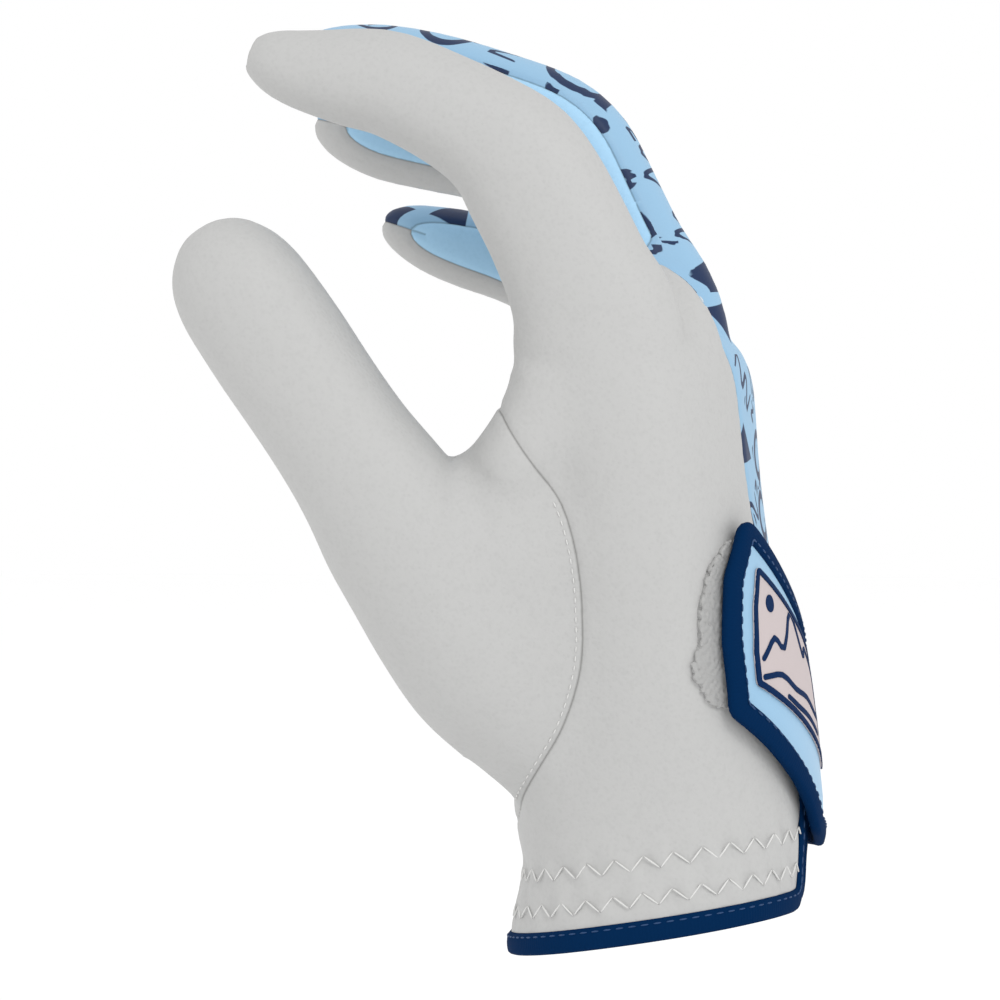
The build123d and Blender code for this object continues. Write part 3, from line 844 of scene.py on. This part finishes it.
def map_of(p, finger=None):
    """Flat map of the leather in mm: across, and up the hand or along the finger."""
    if finger is None:
        return p[:, 1:3]
    u, x, z = SPACES[finger].flat(p)
    line, run = FINGER_LINES[finger]
    q = np.stack([x, z], 1)
    best, v = np.full(len(p), FAR), np.zeros(len(p))
    for k, (a, b) in enumerate(zip(line, line[1:])):
        t, d = to_segment(q, a, b)
        v = np.where(d < best, run[k] + t * (run[k + 1] - run[k]), v)
        best = np.minimum(best, d)
    return np.stack([u + SPACES[finger].y, v], 1)


def lay_map(bm, finger=None):
    """Writes the flat map to the mesh."""
    bm.verts.index_update()
    flat = map_of(points_of(bm), finger) / MAP_UNIT
    layer = bm.loops.layers.uv.new("mm")
    for face in bm.faces:
        for loop in face.loops:
            loop[layer].uv = flat[loop.vert.index]


def thicken(piece, name, thick, offset):
    """Gives a sheet its thickness and applies it to the mesh."""
    solid = piece.modifiers.new(name, "SOLIDIFY")
    solid.thickness = thick * MM
    solid.offset = offset
    solid.use_rim = True
    mesh = bpy.data.meshes.new_from_object(piece.evaluated_get(bpy.context.evaluated_depsgraph_get()))
    piece.modifiers.clear()
    old, piece.data = piece.data, mesh
    bpy.data.meshes.remove(old)


def shade_across(mesh, rims):
    """Gives the rim of a cut that isn't sewn the form's own normals, so that no line shows there."""
    tree = tree_of([place for place, _ in rims])
    normals = [Vector(corner.vector) for corner in mesh.corner_normals]
    for loop in mesh.loops:
        _, index, distance = tree.find(mesh.vertices[loop.vertex_index].co)
        if distance < 1e-6 and rims[index][1].dot(normals[loop.index]) > 0.7:
            normals[loop.index] = rims[index][1]
    mesh.normals_split_custom_set(normals)


def panel(name, bm, material, finger=None, lift=None):
    """Turns cut faces into a leather piece: groove, map and thickness. lift(p) adds height in mm."""
    lay_map(bm, finger)
    seam_layer = bm.verts.layers.float.new("seam")
    outward = {v: form_normal(v.co) for v in bm.verts}
    rims = []
    for v in bm.verts:
        distance = sewn.find(v.co)[2] / MM
        v[seam_layer] = distance
        move = -GROOVE * math.exp(-(distance / (GROOVE_REACH / 2)) ** 2)
        if lift:
            move += lift(v.co / MM)
        v.co += outward[v] * move * MM
        if v.is_boundary and distance > SEWN_NEAR:
            rims.append((v.co.copy(), outward[v]))
    bmesh.ops.recalc_face_normals(bm, faces=bm.faces)
    first = next(iter(bm.faces))
    if first.normal.dot(form_normal(first.calc_center_median())) < 0:
        bmesh.ops.reverse_faces(bm, faces=bm.faces)
    for edge in bm.edges:
        edge.smooth = not edge.is_boundary
    made = mesh_object(name, bm, material)
    thicken(made, "leather", LEATHER, -1)
    if rims:
        shade_across(made.data, rims)
    return made


# %% [markdown]
# ## Fingers and thumb
# A finger has a front, a back and a strip on each side that meets a neighbour. Each is cut once more
# between its two joints. The index finger's white leather runs round it in one piece, so its front and
# back meet without a groove.

# %% Fingers
BASE_SHARE, SECTION_SHARE, TIP_SHARE = 0.42, 0.55, 0.64
BEND_FROM, BEND_PAST = 2.5, 9.0      # mm past the root joint and past the middle joint
finger_seams = []


def section(space, p):
    """Positive beyond the cut between a finger's base and tip pieces."""
    return space.past(p, space.base) - SECTION_SHARE * math.dist(space.root, space.middle)


for name, space in SPACES.items():
    bm = chunks[name]
    found = []
    for side in (-1, 1):
        def strip_edge(p):
            return space.flat(p)[0] * side - space.edge_at(p)
        if side in FOURCHETTES[name]:
            finger_seams += cut_along(bm, strip_edge)
        else:
            found += cut_along(bm, strip_edge, lambda p: space.back_side(p) > -1.0)
    found += cut_along(bm, space.back_side, lambda p: abs(space.flat(p)[0]) < space.edge_at(p) + 0.6)
    if name != "index":
        finger_seams += found
    cut_along(bm, lambda p: section(space, p))

crotch_points = [v.co.copy() for name in ("index", "middle", "ring") for v in chunks[name].verts
                 if abs(v.co.y / MM - SLABS[name][1]) < 0.05]
sewn = tree_of(finger_seams + crotch_points + thumb_seam_points + back_seam_points)


def finger_part(space, label, p):
    """Which points lie on that part of the finger."""
    u, back, edge = space.flat(p)[0], space.back_side(p) > 0, space.edge_at(p)
    side = np.sign(u).astype(int)
    strip = (abs(u) > edge) & np.isin(side, FOURCHETTES[space.name])
    top = back & (abs(u) <= edge)
    return {"back": top & ~strip, "front": ~top & ~strip,
            "fourchette_inner": strip & (side < 0), "fourchette_outer": strip & (side > 0)}[label]


for name, space in SPACES.items():
    root, middle = space.place(*space.root), space.place(*space.middle)
    length = np.linalg.norm(middle - root)
    along = (middle - root) / length
    labels = ["front", "back"] + [f"fourchette_{'inner' if s < 0 else 'outer'}" for s in FOURCHETTES[name]]
    for label in labels:
        material = {"front": WHITE, "back": WHITE if name == "index" else PRINT}.get(label, BLUE)
        for half, far in (("base", False), ("tip", True)):
            cut = take(chunks[name], lambda p: finger_part(space, label, p) & ((section(space, p) > 0) == far))
            piece = panel(f"{name}_{half}_{label}_leather", cut, material, name)
            if far:
                bodies, start, end = (f"{name}_base", f"{name}_tip"), length * TIP_SHARE, length + BEND_PAST
            else:
                bodies, start, end = ("hand", f"{name}_base"), BEND_FROM, length * BASE_SHARE
            Vector(root + along * start) * MM
            Vector(root + along * end) * MM
            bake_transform(piece)
            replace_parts(piece, f"{name}_{half}_{label}")
    print(name, labels)

# %% Thumb
THUMB_JOINT = np.array([-45.0, -36.5, 80.6])
THUMB_LAST = np.array([-62.6, -39.5, 106.5])
THUMB_ALONG = unit(THUMB_LAST - THUMB_JOINT)
THUMB_END_ALONG = unit(np.array([-72.4, -41.0, 120.9]) - THUMB_LAST)
PAST = 12.0              # how far past a joint a thumb piece runs


def past_first(p):
    return (p - THUMB_JOINT) @ THUMB_ALONG - PAST


def past_last(p):
    return (p - THUMB_LAST) @ THUMB_END_ALONG - PAST


cut_along(thumb_chunk, past_first)
cut_along(thumb_chunk, past_last)
for name, node, first, last in [("thumb_base_leather", "thumb_base_panel", False, False),
                                ("thumb_middle_leather", "thumb_middle_sleeve", True, False),
                                ("thumb_tip_leather", "thumb_tip_sleeve", True, True)]:
    cut = take(thumb_chunk, lambda p: ((past_first(p) > 0) == first) & ((past_last(p) > 0) == last))
    piece = panel(name, cut, WHITE)
    if last:
        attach(piece, "thumb_tip")
    elif first:
        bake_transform(piece)
    else:
        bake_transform(piece)
    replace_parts(piece, node)
    print(name, len(piece.data.polygons), "faces")

# %% Palm and back of the hand
WRIST_ROWS = (7.4, 14.2)     # heights of the zigzag rows over the cuff
PUCKER = 0.26


def gathered(co):
    """Soft puckers where the elastic draws the wrist in."""
    height = float(cuff_height(np.array([co]))[0])
    angle = math.atan2(co.y, co.x - 1.0)
    near = sum(math.exp(-((height - row) / 3.2) ** 2) for row in WRIST_ROWS)
    folds = math.sin(angle * 23 + height * 0.5) + 0.6 * math.sin(angle * 37 + 2)
    return PUCKER * near * folds - 0.12 * near


palm = panel("palm_leather", take(hand_chunk, lambda p: back_field(p) <= 0), WHITE, lift=gathered)
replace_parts(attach(palm, "hand"), "palm_panel")
back = panel("back_leather", take(hand_chunk, lambda p: back_field(p) > 0), PRINT, lift=gathered)
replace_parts(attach(back, "hand"), "back_panel")
print("palm", len(palm.data.polygons), "back", len(back.data.polygons))

# %% [markdown]
# ## Tape, tab and stitches
# A binding tape is a strip folded over an edge. It is laid as a flat grid of points: along the edge one way,
# and across the fold the other way, each point put where the leather below it is. A swept curve would do
# for a straight edge, but here the tape has to follow a curved surface on both of its sides.

# %% Laying strips on the form
STRIP_STEP = 1.1
skin = BVHTree.FromBMesh(whole)


def onto_skin(p):
    """The nearest place on the form and the form's normal there."""
    place = skin.find_nearest(p)[0]
    return place, form_normal(place)


def grid(rows, columns, place):
    """A grid whose point (i, j) lies at place(i, j). Both ways close into a ring, and are welded there."""
    bm = bmesh.new()
    bmesh.ops.create_grid(bm, x_segments=columns, y_segments=rows, size=0.5)
    layer = bm.loops.layers.uv.new("mm")
    index = {v: (round((v.co.y + 0.5) * rows), round((v.co.x + 0.5) * columns)) for v in bm.verts}
    for face in bm.faces:
        for loop in face.loops:
            i, j = index[loop.vert]
            loop[layer].uv = (i * STRIP_STEP / MAP_UNIT, j * 0.6 / MAP_UNIT)
    for v, (i, j) in index.items():
        v.co = place(i % rows, j % columns)
    bmesh.ops.remove_doubles(bm, verts=bm.verts, dist=1e-7)
    bmesh.ops.recalc_face_normals(bm, faces=bm.faces)
    return bm


def edge_loops(bm, wanted):
    """Ordered loops of boundary points whose edges pass wanted()."""
    edges = {e for e in bm.edges if e.is_boundary and wanted((e.verts[0].co + e.verts[1].co) / 2 / MM)}
    loops = []
    while edges:
        first = edges.pop()
        chain = [first.verts[0], first.verts[1]]
        while True:
            step = next((e for e in chain[-1].link_edges if e in edges), None)
            if step is None:
                break
            edges.discard(step)
            chain.append(step.other_vert(chain[-1]))
        loops.append([v.co.copy() for v in chain])
    return sorted(loops, key=len, reverse=True)


def even_line(points, step, closed, rounds=6):
    """The line with its steps made even and its small kinks relaxed."""
    p = np.array(points)
    if closed and np.linalg.norm(p[0] - p[-1]) > 1e-6:
        p = np.vstack([p, p[:1]])
    for _ in range(rounds):
        if closed:
            q = p[:-1]
            q = (np.roll(q, 1, 0) + 2 * q + np.roll(q, -1, 0)) / 4
            p = np.vstack([q, q[:1]])
        else:
            p[1:-1] = (p[:-2] + 2 * p[1:-1] + p[2:]) / 4
    run = np.concatenate([[0], np.cumsum(np.linalg.norm(np.diff(p, axis=0), axis=1))])
    count = max(int(round(run[-1] / (step * MM))), 3)
    at = np.linspace(0, run[-1], count + 1)[: count if closed else count + 1]
    return [Vector([np.interp(t, run, p[:, k]) for k in range(3)]) for t in at]


def side_of(line, inside):
    """1 where the leather lies to the left of the running edge, -1 where it lies to the right."""
    left = onto_skin(line[0])[1].cross((line[1] - line[-1]).normalized())
    return 1 if inside(np.array([(line[0] + left * 2 * MM) / MM]))[0] else -1


OUTER_STEPS, FOLD_STEPS, INNER_STEPS = 5, 6, 4       # of a tape: over the leather, round its edge, under it
TAPE_LAST = OUTER_STEPS + FOLD_STEPS + INNER_STEPS
CROWN = 0.22


def tape_over(name, line, width, thick, inner, under, surface, turned):
    """A tape folded over a closed edge. surface(p) gives the place and normal of the leather near p."""
    frames = []
    for i, p in enumerate(line):
        normal = surface(p)[1]
        along = (line[(i + 1) % len(line)] - line[i - 1]).normalized()
        frames.append((p, normal, normal.cross(along).normalized() * turned))
    half = (thick * 2 + under) / 2

    def profile(j):
        """Distance in from the edge and height over the leather."""
        if j == 0:
            return width, thick * 0.35
        if j <= OUTER_STEPS:
            t = 1 - j / OUTER_STEPS
            return t * width, thick + CROWN * math.sin(math.pi * t)
        if j <= OUTER_STEPS + FOLD_STEPS:
            a = math.pi * (j - OUTER_STEPS) / FOLD_STEPS
            return -math.sin(a) * half * 0.75, thick - half + math.cos(a) * half
        if j <= TAPE_LAST:
            return (j - OUTER_STEPS - FOLD_STEPS) / INNER_STEPS * inner, -under - thick
        return (inner, -under) if j == TAPE_LAST + 1 else (width, 0.0)

    def place(i, j):
        p, normal, inward = frames[i]
        s, h = profile(j)
        start = p + inward * s * MM
        at, up = surface(start) if s > 0 else (start, normal)
        return at + up * h * MM

    return mesh_object(name, grid(len(line), TAPE_LAST + 3, place), TAPE)


def stitch_line(name, line, surface, length, pitch, radius, sink=0.15, offset=0.0, zigzag=0.0, closed=False,
                skip=None, material=THREAD):
    """A row of sewn stitches lying on the leather."""
    p = even_line(line, 0.5, closed, rounds=2)
    run = [0.0]
    for a, b in zip(p, p[1:]):
        run.append(run[-1] + (b - a).length / MM)
    reach = math.hypot(pitch, zigzag) * 0.5 * 1.04 if zigzag else length / 2
    bm = bmesh.new()
    for k in range(int(run[-1] / pitch)):
        t = (k + 0.5) * pitch
        i = min(max(int(np.searchsorted(run, t)) - 1, 0), len(p) - 2)
        share = min(max((t - run[i]) / max(run[i + 1] - run[i], 1e-9), 0), 1)
        middle, along = p[i].lerp(p[i + 1], share), (p[i + 1] - p[i]).normalized()
        if skip and skip(middle / MM):
            continue
        side = surface(middle)[1].cross(along).normalized()
        if zigzag:
            along = (along * pitch + side * zigzag * (1 if k % 2 else -1)).normalized()
        at, normal = surface(middle + side * offset * MM)
        side = normal.cross(along).normalized()
        turn = Matrix((side.cross(normal), side, normal)).transposed().to_4x4()
        turn.translation = at + normal * (radius - sink) * MM
        size = Matrix.Diagonal((reach * MM, radius * MM, radius * MM, 1))
        bmesh.ops.create_uvsphere(bm, u_segments=8, v_segments=6, radius=1, matrix=turn @ size)
    bmesh.ops.recalc_face_normals(bm, faces=bm.faces)
    return mesh_object(name, bm, material)


# %% Edge tape round the cuff and the slit
CUFF_TAPE, CUFF_INNER, TAPE_THICK = 3.6, 3.0, 0.55
open_edge = edge_loops(hand_chunk, lambda p: opening(np.array([p]))[0] < 0.35 and p[2] < 70)[0]
edge_line = even_line(open_edge, STRIP_STEP, True)
edge_turned = side_of(edge_line, lambda p: opening(p) > 0)
edge_tape = tape_over("edge_tape", edge_line, CUFF_TAPE, TAPE_THICK, CUFF_INNER, LEATHER, onto_skin,
                      edge_turned)
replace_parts(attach(edge_tape, "hand"), "cuff_binding", "slit_binding")
print("edge tape:", len(edge_line), "steps, size", [round(v / MM, 1) for v in edge_tape.dimensions])

# %% [markdown]
# ## Stitches
# Each stitch is a small rounded bead of thread, laid along the line and sunk a little into the leather. A
# bump texture would be lighter, but only beads cast the fine shadow that makes a seam look sewn.

# %% Seam and wrist stitches
def ordered(points, start):
    """Seam points put in running order, from the one nearest to start."""
    rest = [Vector(p) for p in points]
    line = [min(rest, key=lambda p: (p - Vector(start) * MM).length)]
    rest.remove(line[0])
    while rest:
        near = min(rest, key=lambda p: (p - line[-1]).length_squared)
        rest.remove(near)
        if (near - line[-1]).length < 3 * MM:
            line.append(near)
    return line


back_near = [p for p in back_seam_points if p.y < 3 * MM and p.x > 4 * MM and p.z > 50 * MM]
back_line = ordered(back_near, (16, -22, 116))
back_stitches = stitch_line("back_seam_stitches", back_line, onto_skin, 1.5, 2.3, 0.22, offset=-1.5)
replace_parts(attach(back_stitches, "hand"), "back_seam_thread")
thumb_near = [p for p in thumb_seam_points if p.y < (THUMB_PALM_Y - 2) * MM and p.z < 82 * MM]
thumb_line = ordered(thumb_near, (-23, -22, 21))
thumb_stitches = stitch_line("thumb_seam_stitches", thumb_line, onto_skin, 1.2, 1.9, 0.15, offset=1.1,
                             sink=0.07)
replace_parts(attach(thumb_stitches, "hand"), "thumb_seam_thread")
print("back seam", len(back_line), "thumb seam", len(thumb_line))

ZIGZAG_PITCH, ZIGZAG_SWING = 2.85, 2.7
SLIT_CLEAR = 3.2         # how far a wrist row stays from the slit
WRIST_X, WRIST_Y = 1.5, 0.5


def wrist_ring(height, steps=360):
    """Points round the wrist at a height over the cuff."""
    slope = math.tan(math.radians(CUFF_SLOPE))
    start = Vector((WRIST_X, WRIST_Y, height / CUFF_UP[2] + CUFF_DROP + WRIST_X * slope)) * MM
    made = []
    for k in range(steps):
        angle = -2 * math.pi * k / steps + 0.3
        out = Vector((math.cos(angle), math.sin(angle), slope * math.cos(angle)))
        made.append(skin.ray_cast(start, out.normalized())[0])
    return made


def in_slit(p, clear=SLIT_CLEAR):
    return slit_distance(np.array([p]))[0] < clear


bm = bmesh.new()
for i, height in enumerate(WRIST_ROWS):
    row = stitch_line(f"row_{i}", wrist_ring(height), onto_skin, 0, ZIGZAG_PITCH, 0.18, sink=0.05,
                      zigzag=ZIGZAG_SWING, closed=True, skip=in_slit)
    bm.from_mesh(row.data)
    bpy.data.objects.remove(row)
zigzag = mesh_object("wrist_zigzag_stitches", bm, THREAD)
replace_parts(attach(zigzag, "hand"), "zigzag_stitches")

# %% Elastic inside the wrist
ELASTIC_LOW, ELASTIC_HIGH = 4.4, 16.5
ELASTIC_OUTER, ELASTIC_INNER = 0.12, 0.85      # depth of its two faces under the leather
ELASTIC_ROWS, ELASTIC_STEPS = 300, 10


def elastic_band():
    """A flat band in a ring, open where the slit is."""
    rings = [wrist_ring(h, ELASTIC_ROWS) for h in np.linspace(ELASTIC_LOW, ELASTIC_HIGH, ELASTIC_STEPS // 2)]
    faces = [(ring, ELASTIC_OUTER) for ring in rings] + [(ring, ELASTIC_INNER) for ring in rings[::-1]]
    inside = [[onto_skin(p)[0] - onto_skin(p)[1] * (LEATHER + depth) * MM for p in ring]
              for ring, depth in faces]
    bm = grid(ELASTIC_ROWS, ELASTIC_STEPS, lambda i, j: inside[j][i])
    gone = [f for f in bm.faces if in_slit(f.calc_center_median() / MM, SLIT_CLEAR + 0.3)]
    bmesh.ops.delete(bm, geom=gone, context="FACES")
    bmesh.ops.holes_fill(bm, edges=[e for e in bm.edges if e.is_boundary], sides=0)
    return bm


elastic = mesh_object("wrist_elastic_band", elastic_band(), ELASTIC)
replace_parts(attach(elastic, "hand"), "wrist_elastic")

# %% [markdown]
# ## Closing tab
# The tab is cut to an outline on the form and lifted off it, so it lies over the wrist as the real one
# does. Its sewn end stays low and its free end stands up on the hook and loop pads.

# %% Outlines seen from the back: y, z
TAB = [(32, 19), (32, 43), (24, 47.5), (-25.5, 75.5), (-29.6, 68), (-30.4, 56), (-29, 43), (-12, 26.5),
       (0, 16), (10, 13.5), (26, 13.5)]
BADGE = [(12, 27.5), (12, 48), (-22.5, 67.5), (-24.5, 61), (-25.5, 52), (-25, 46)]
HOOK_PAD = [(9, 34), (9, 46), (-19, 62.5), (-25.5, 60), (-27, 50), (-23, 44)]
LOOP_PATCH = [(-14, 40), (-16, 71), (-26, 73.5), (-30.8, 70), (-33.2, 63), (-33.7, 52), (-32.6, 46),
              (-29.5, 41.5), (-24, 40)]
TAB_ROUND, BADGE_ROUND, HOOK_ROUND, LOOP_ROUND = 3.0, 1.0, 2.0, 3.0
TAB_THICK, TAB_TAPE, TAB_INNER, TAB_TAPE_THICK = 1.2, 3.5, 2.6, 0.5
BACK_X, BACK_LOW, BACK_HIGH = 3, 5, 85       # the part of the form that the outlines are cut from


def polygon_distance(p, corners, rounding):
    """Signed distance from a polygon seen from the back, negative inside, with rounded corners."""
    q = p[:, 1:3]
    corners = np.array(corners, float)
    middle = corners.mean(0)
    corners = corners + np.array([unit(middle - c) for c in corners]) * rounding * 1.15
    inside = np.zeros(len(q), bool)
    best = np.full(len(q), FAR)
    for a, b in zip(corners, np.roll(corners, -1, 0)):
        best = np.minimum(best, to_segment(q, a, b)[1])
        crosses = (a[1] > q[:, 1]) != (b[1] > q[:, 1])
        at = a[0] + (q[:, 1] - a[1]) / np.where(b[1] == a[1], 1e-9, b[1] - a[1]) * (b[0] - a[0])
        inside ^= crosses & (q[:, 0] < at)
    return np.where(inside, -best, best) - rounding


def tab_lift(p):
    """Height of the tab's underside over the form: low at the sewn end, up on the pads at the other."""
    rise = min(max((30 - p[1]) / 12, 0), 1)
    return 0.12 + rise * rise * (3 - 2 * rise) * 2.0


def patch(outline, rounding):
    """The part of the back of the form inside an outline."""
    bm = whole.copy()
    centres = [(f, f.calc_center_median() / MM) for f in bm.faces]
    far = [f for f, c in centres if c.x < BACK_X or not BACK_LOW <= c.z <= BACK_HIGH]
    bmesh.ops.delete(bm, geom=far, context="FACES")
    bmesh.ops.subdivide_edges(bm, edges=list(bm.edges), cuts=1, use_grid_fill=True)
    cut_along(bm, lambda p: polygon_distance(p, outline, rounding))
    return take(bm, lambda p: polygon_distance(p, outline, rounding) < 0)


def raised(name, bm, height, thick, material, nodes=(), body=None):
    """A patch stood off the form and thickened outwards. With no body it stays where it is made."""
    lay_map(bm)
    for v in bm.verts:
        v.co += form_normal(v.co) * height(v.co / MM) * MM
    bmesh.ops.recalc_face_normals(bm, faces=bm.faces)
    if next(iter(bm.faces)).normal.x < 0:
        bmesh.ops.reverse_faces(bm, faces=bm.faces)
    made = mesh_object(name, bm, material)
    thicken(made, "thickness", thick, 1)
    if body is None:
        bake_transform(made)
    else:
        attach(made, body)
    if nodes:
        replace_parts(made, *nodes)
    print(name, len(made.data.polygons), "faces")
    return made


def onto_tab(p):
    """The nearest place on the tab's face. The form carries it, so it is found from the form."""
    at, normal = onto_skin(p)
    return at + normal * (tab_lift(at / MM) + TAB_THICK) * MM, normal


tab_patch = patch(TAB, TAB_ROUND)
tab_line = even_line(edge_loops(tab_patch, lambda p: True)[0], STRIP_STEP, True)
raised("tab_face_leather", tab_patch, tab_lift, TAB_THICK, TAB_BLUE, ("tab_face", "tab_anchor"))
tab_turned = side_of(tab_line, lambda p: polygon_distance(p, TAB, TAB_ROUND) < 0)
tab_tape = tape_over("tab_edge_tape", [onto_tab(p)[0] for p in tab_line], TAB_TAPE, TAB_TAPE_THICK,
                     TAB_INNER, TAB_THICK, onto_tab, tab_turned)
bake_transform(tab_tape)
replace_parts(tab_tape, "tab_binding")
print("tab tape:", len(tab_line), "steps")

# %% [markdown]
# ## Badge and pads
# The badge is a flocked patch with a printed border and a small landscape: hills, a sun and water. Border and
# drawing are cut from the same outline as thin raised ink, so that they bend with the tab and keep a sharp
# edge. A printed texture would be as good from afar and blurred close up.

# %% Badge, emblem and pads
BADGE_THICK, BADGE_BORDER, INK_THICK, INK_SINK = 0.35, 1.1, 0.22, 0.08
EMBLEM_PEN = 0.55
SUN = (-18.6, 60.6, 1.7)
EMBLEM = [
    [(-22.8, 50.5), (-18.5, 54), (-14.5, 52), (-7.5, 58.5), (-2, 50), (1.5, 51), (9.5, 44.5)],
    [(-22.8, 47), (-17, 47), (-11, 44), (-4, 42), (3, 38.5), (9.5, 37)],
    [(-15, 42.8), (-10, 40.5), (-4, 38.2), (3, 34.8)],
]


def badge_top(p):
    return tab_lift(p) + TAB_THICK + 0.02


def ink_floor(p):
    return badge_top(p) + BADGE_THICK - INK_SINK


def emblem_field(p):
    """Hills under a sun, with water below: negative on the ink."""
    q = p[:, 1:3]
    sun = np.linalg.norm(q - np.array(SUN[:2]), axis=1) - SUN[2]
    strokes = [abs(line_side(q, spline(line, 3))) - EMBLEM_PEN for line in EMBLEM]
    frame_edge = polygon_distance(p, BADGE, BADGE_ROUND) + BADGE_BORDER + 0.4
    return np.maximum(np.min([sun, *strokes], axis=0), frame_edge)


def border_field(p):
    return -polygon_distance(p, BADGE, BADGE_ROUND) - BADGE_BORDER


def pile_height(p):
    """The loop pile stands unevenly."""
    tufts = math.sin(p.y * 5.1 + p.z * 1.3) * math.sin(p.z * 4.3 - p.y)
    return -0.1 + 0.16 * tufts + random.uniform(-0.10, 0.10)


def cut_out(bm, field):
    """The part of a patch where the field is negative."""
    cut_along(bm, field)
    return take(bm, lambda p: field(p) < 0)


raised("tab_badge_patch", patch(BADGE, BADGE_ROUND), badge_top, BADGE_THICK, BADGE_FILL,
       ("tab_badge",), "closure_tab")
raised("badge_border_print", cut_out(patch(BADGE, BADGE_ROUND), border_field), ink_floor, INK_THICK + INK_SINK,
       BADGE_INK, ("badge_border",), "closure_tab")
fine = patch(BADGE, BADGE_ROUND)
bmesh.ops.subdivide_edges(fine, edges=list(fine.edges), cuts=1, use_grid_fill=True)
raised("badge_emblem_print", cut_out(fine, emblem_field), ink_floor, INK_THICK, BADGE_INK,
       body="closure_tab")
raised("tab_hook_strip", patch(HOOK_PAD, HOOK_ROUND), lambda p: tab_lift(p) - 0.72, 0.7, HOOK,
       ("tab_hook_pad",), "closure_tab")
# the loop patch's grey colour is painted shadow of the tab over it
raised("wrist_loop_patch", patch(LOOP_PATCH, LOOP_ROUND), pile_height, 0.95, SHADOWED_LOOP_PILE, ("loop_patch",),
       "hand")

# %% Tape stitches
STITCH_INSET = 0.9       # from the tape's inner edge
tape_row = stitch_line("edge_tape_stitches", edge_line, onto_skin, 1.6, 2.4, 0.17, sink=-TAPE_THICK + 0.02,
                       offset=edge_turned * (CUFF_TAPE - STITCH_INSET), closed=True, material=TAPE_STITCH)
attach(tape_row, "hand")
tab_row = stitch_line("tab_tape_stitches", tab_line, onto_tab, 1.6, 2.4, 0.17, sink=-0.52,
                      offset=tab_turned * (TAB_TAPE - STITCH_INSET), closed=True, material=TAPE_STITCH)
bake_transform(tab_row)

# %% [markdown]
# ## Room, light and camera
# A white room with broad, soft lamps keeps the leather's own colour and only models its roundings.

# %% Floor and world
FLOOR_SIZE, FLOOR_Z = 6, -0.045
scene = bpy.context.scene
floor_bm = bmesh.new()
bmesh.ops.create_grid(floor_bm, x_segments=1, y_segments=1, size=FLOOR_SIZE)
bmesh.ops.translate(floor_bm, verts=floor_bm.verts, vec=(0, 0, FLOOR_Z))
floor = mesh_object("studio_floor", floor_bm, plain("white_painted_floor", "#FFFFFF", 0.9))
world = bpy.data.worlds.new("studio")
world.use_nodes = True
world.node_tree.nodes["Background"].inputs["Color"].default_value = (1, 1, 1, 1)
world.node_tree.nodes["Background"].inputs["Strength"].default_value = 1.0
scene.world = world
scene.view_settings.view_transform = "Standard"
scene.view_settings.look = "None"


def lamp(name, place, target, size, power):
    """A round soft lamp that faces the target."""
    data = bpy.data.lights.new(name, "AREA")
    data.shape = "DISK"
    data.size = size
    data.energy = power
    made = add_object(name, data)
    made.location = place
    made.rotation_euler = (Vector(target) - Vector(place)).to_track_quat("-Z", "Y").to_euler()


MIDDLE = (0, 0, 0.08)
lamp("key_lamp", (0.7, -0.9, 0.9), MIDDLE, 0.5, 5.5)
lamp("side_lamp", (-1.2, -0.5, 0.5), MIDDLE, 0.9, 1.0)

# %% Camera
VIEW_TURN = math.radians(12)
VIEW_DISTANCE, VIEW_RIGHT, VIEW_HEIGHT = 0.826, -0.0298, 0.08075
right = Vector((math.cos(VIEW_TURN), math.sin(VIEW_TURN), 0))
ahead = Vector((-math.sin(VIEW_TURN), math.cos(VIEW_TURN), 0))
lens = bpy.data.cameras.new("camera")
lens.sensor_width = 36
lens.lens = 36 * 0.800 / 0.190       # 190 mm wide at 800 mm
lens.clip_start, lens.clip_end = 0.01, 20
camera = add_object("camera", lens)
camera.location = right * VIEW_RIGHT - ahead * VIEW_DISTANCE + Vector((0, 0, VIEW_HEIGHT))
camera.rotation_euler = ahead.to_track_quat("-Z", "Y").to_euler()
scene.camera = camera
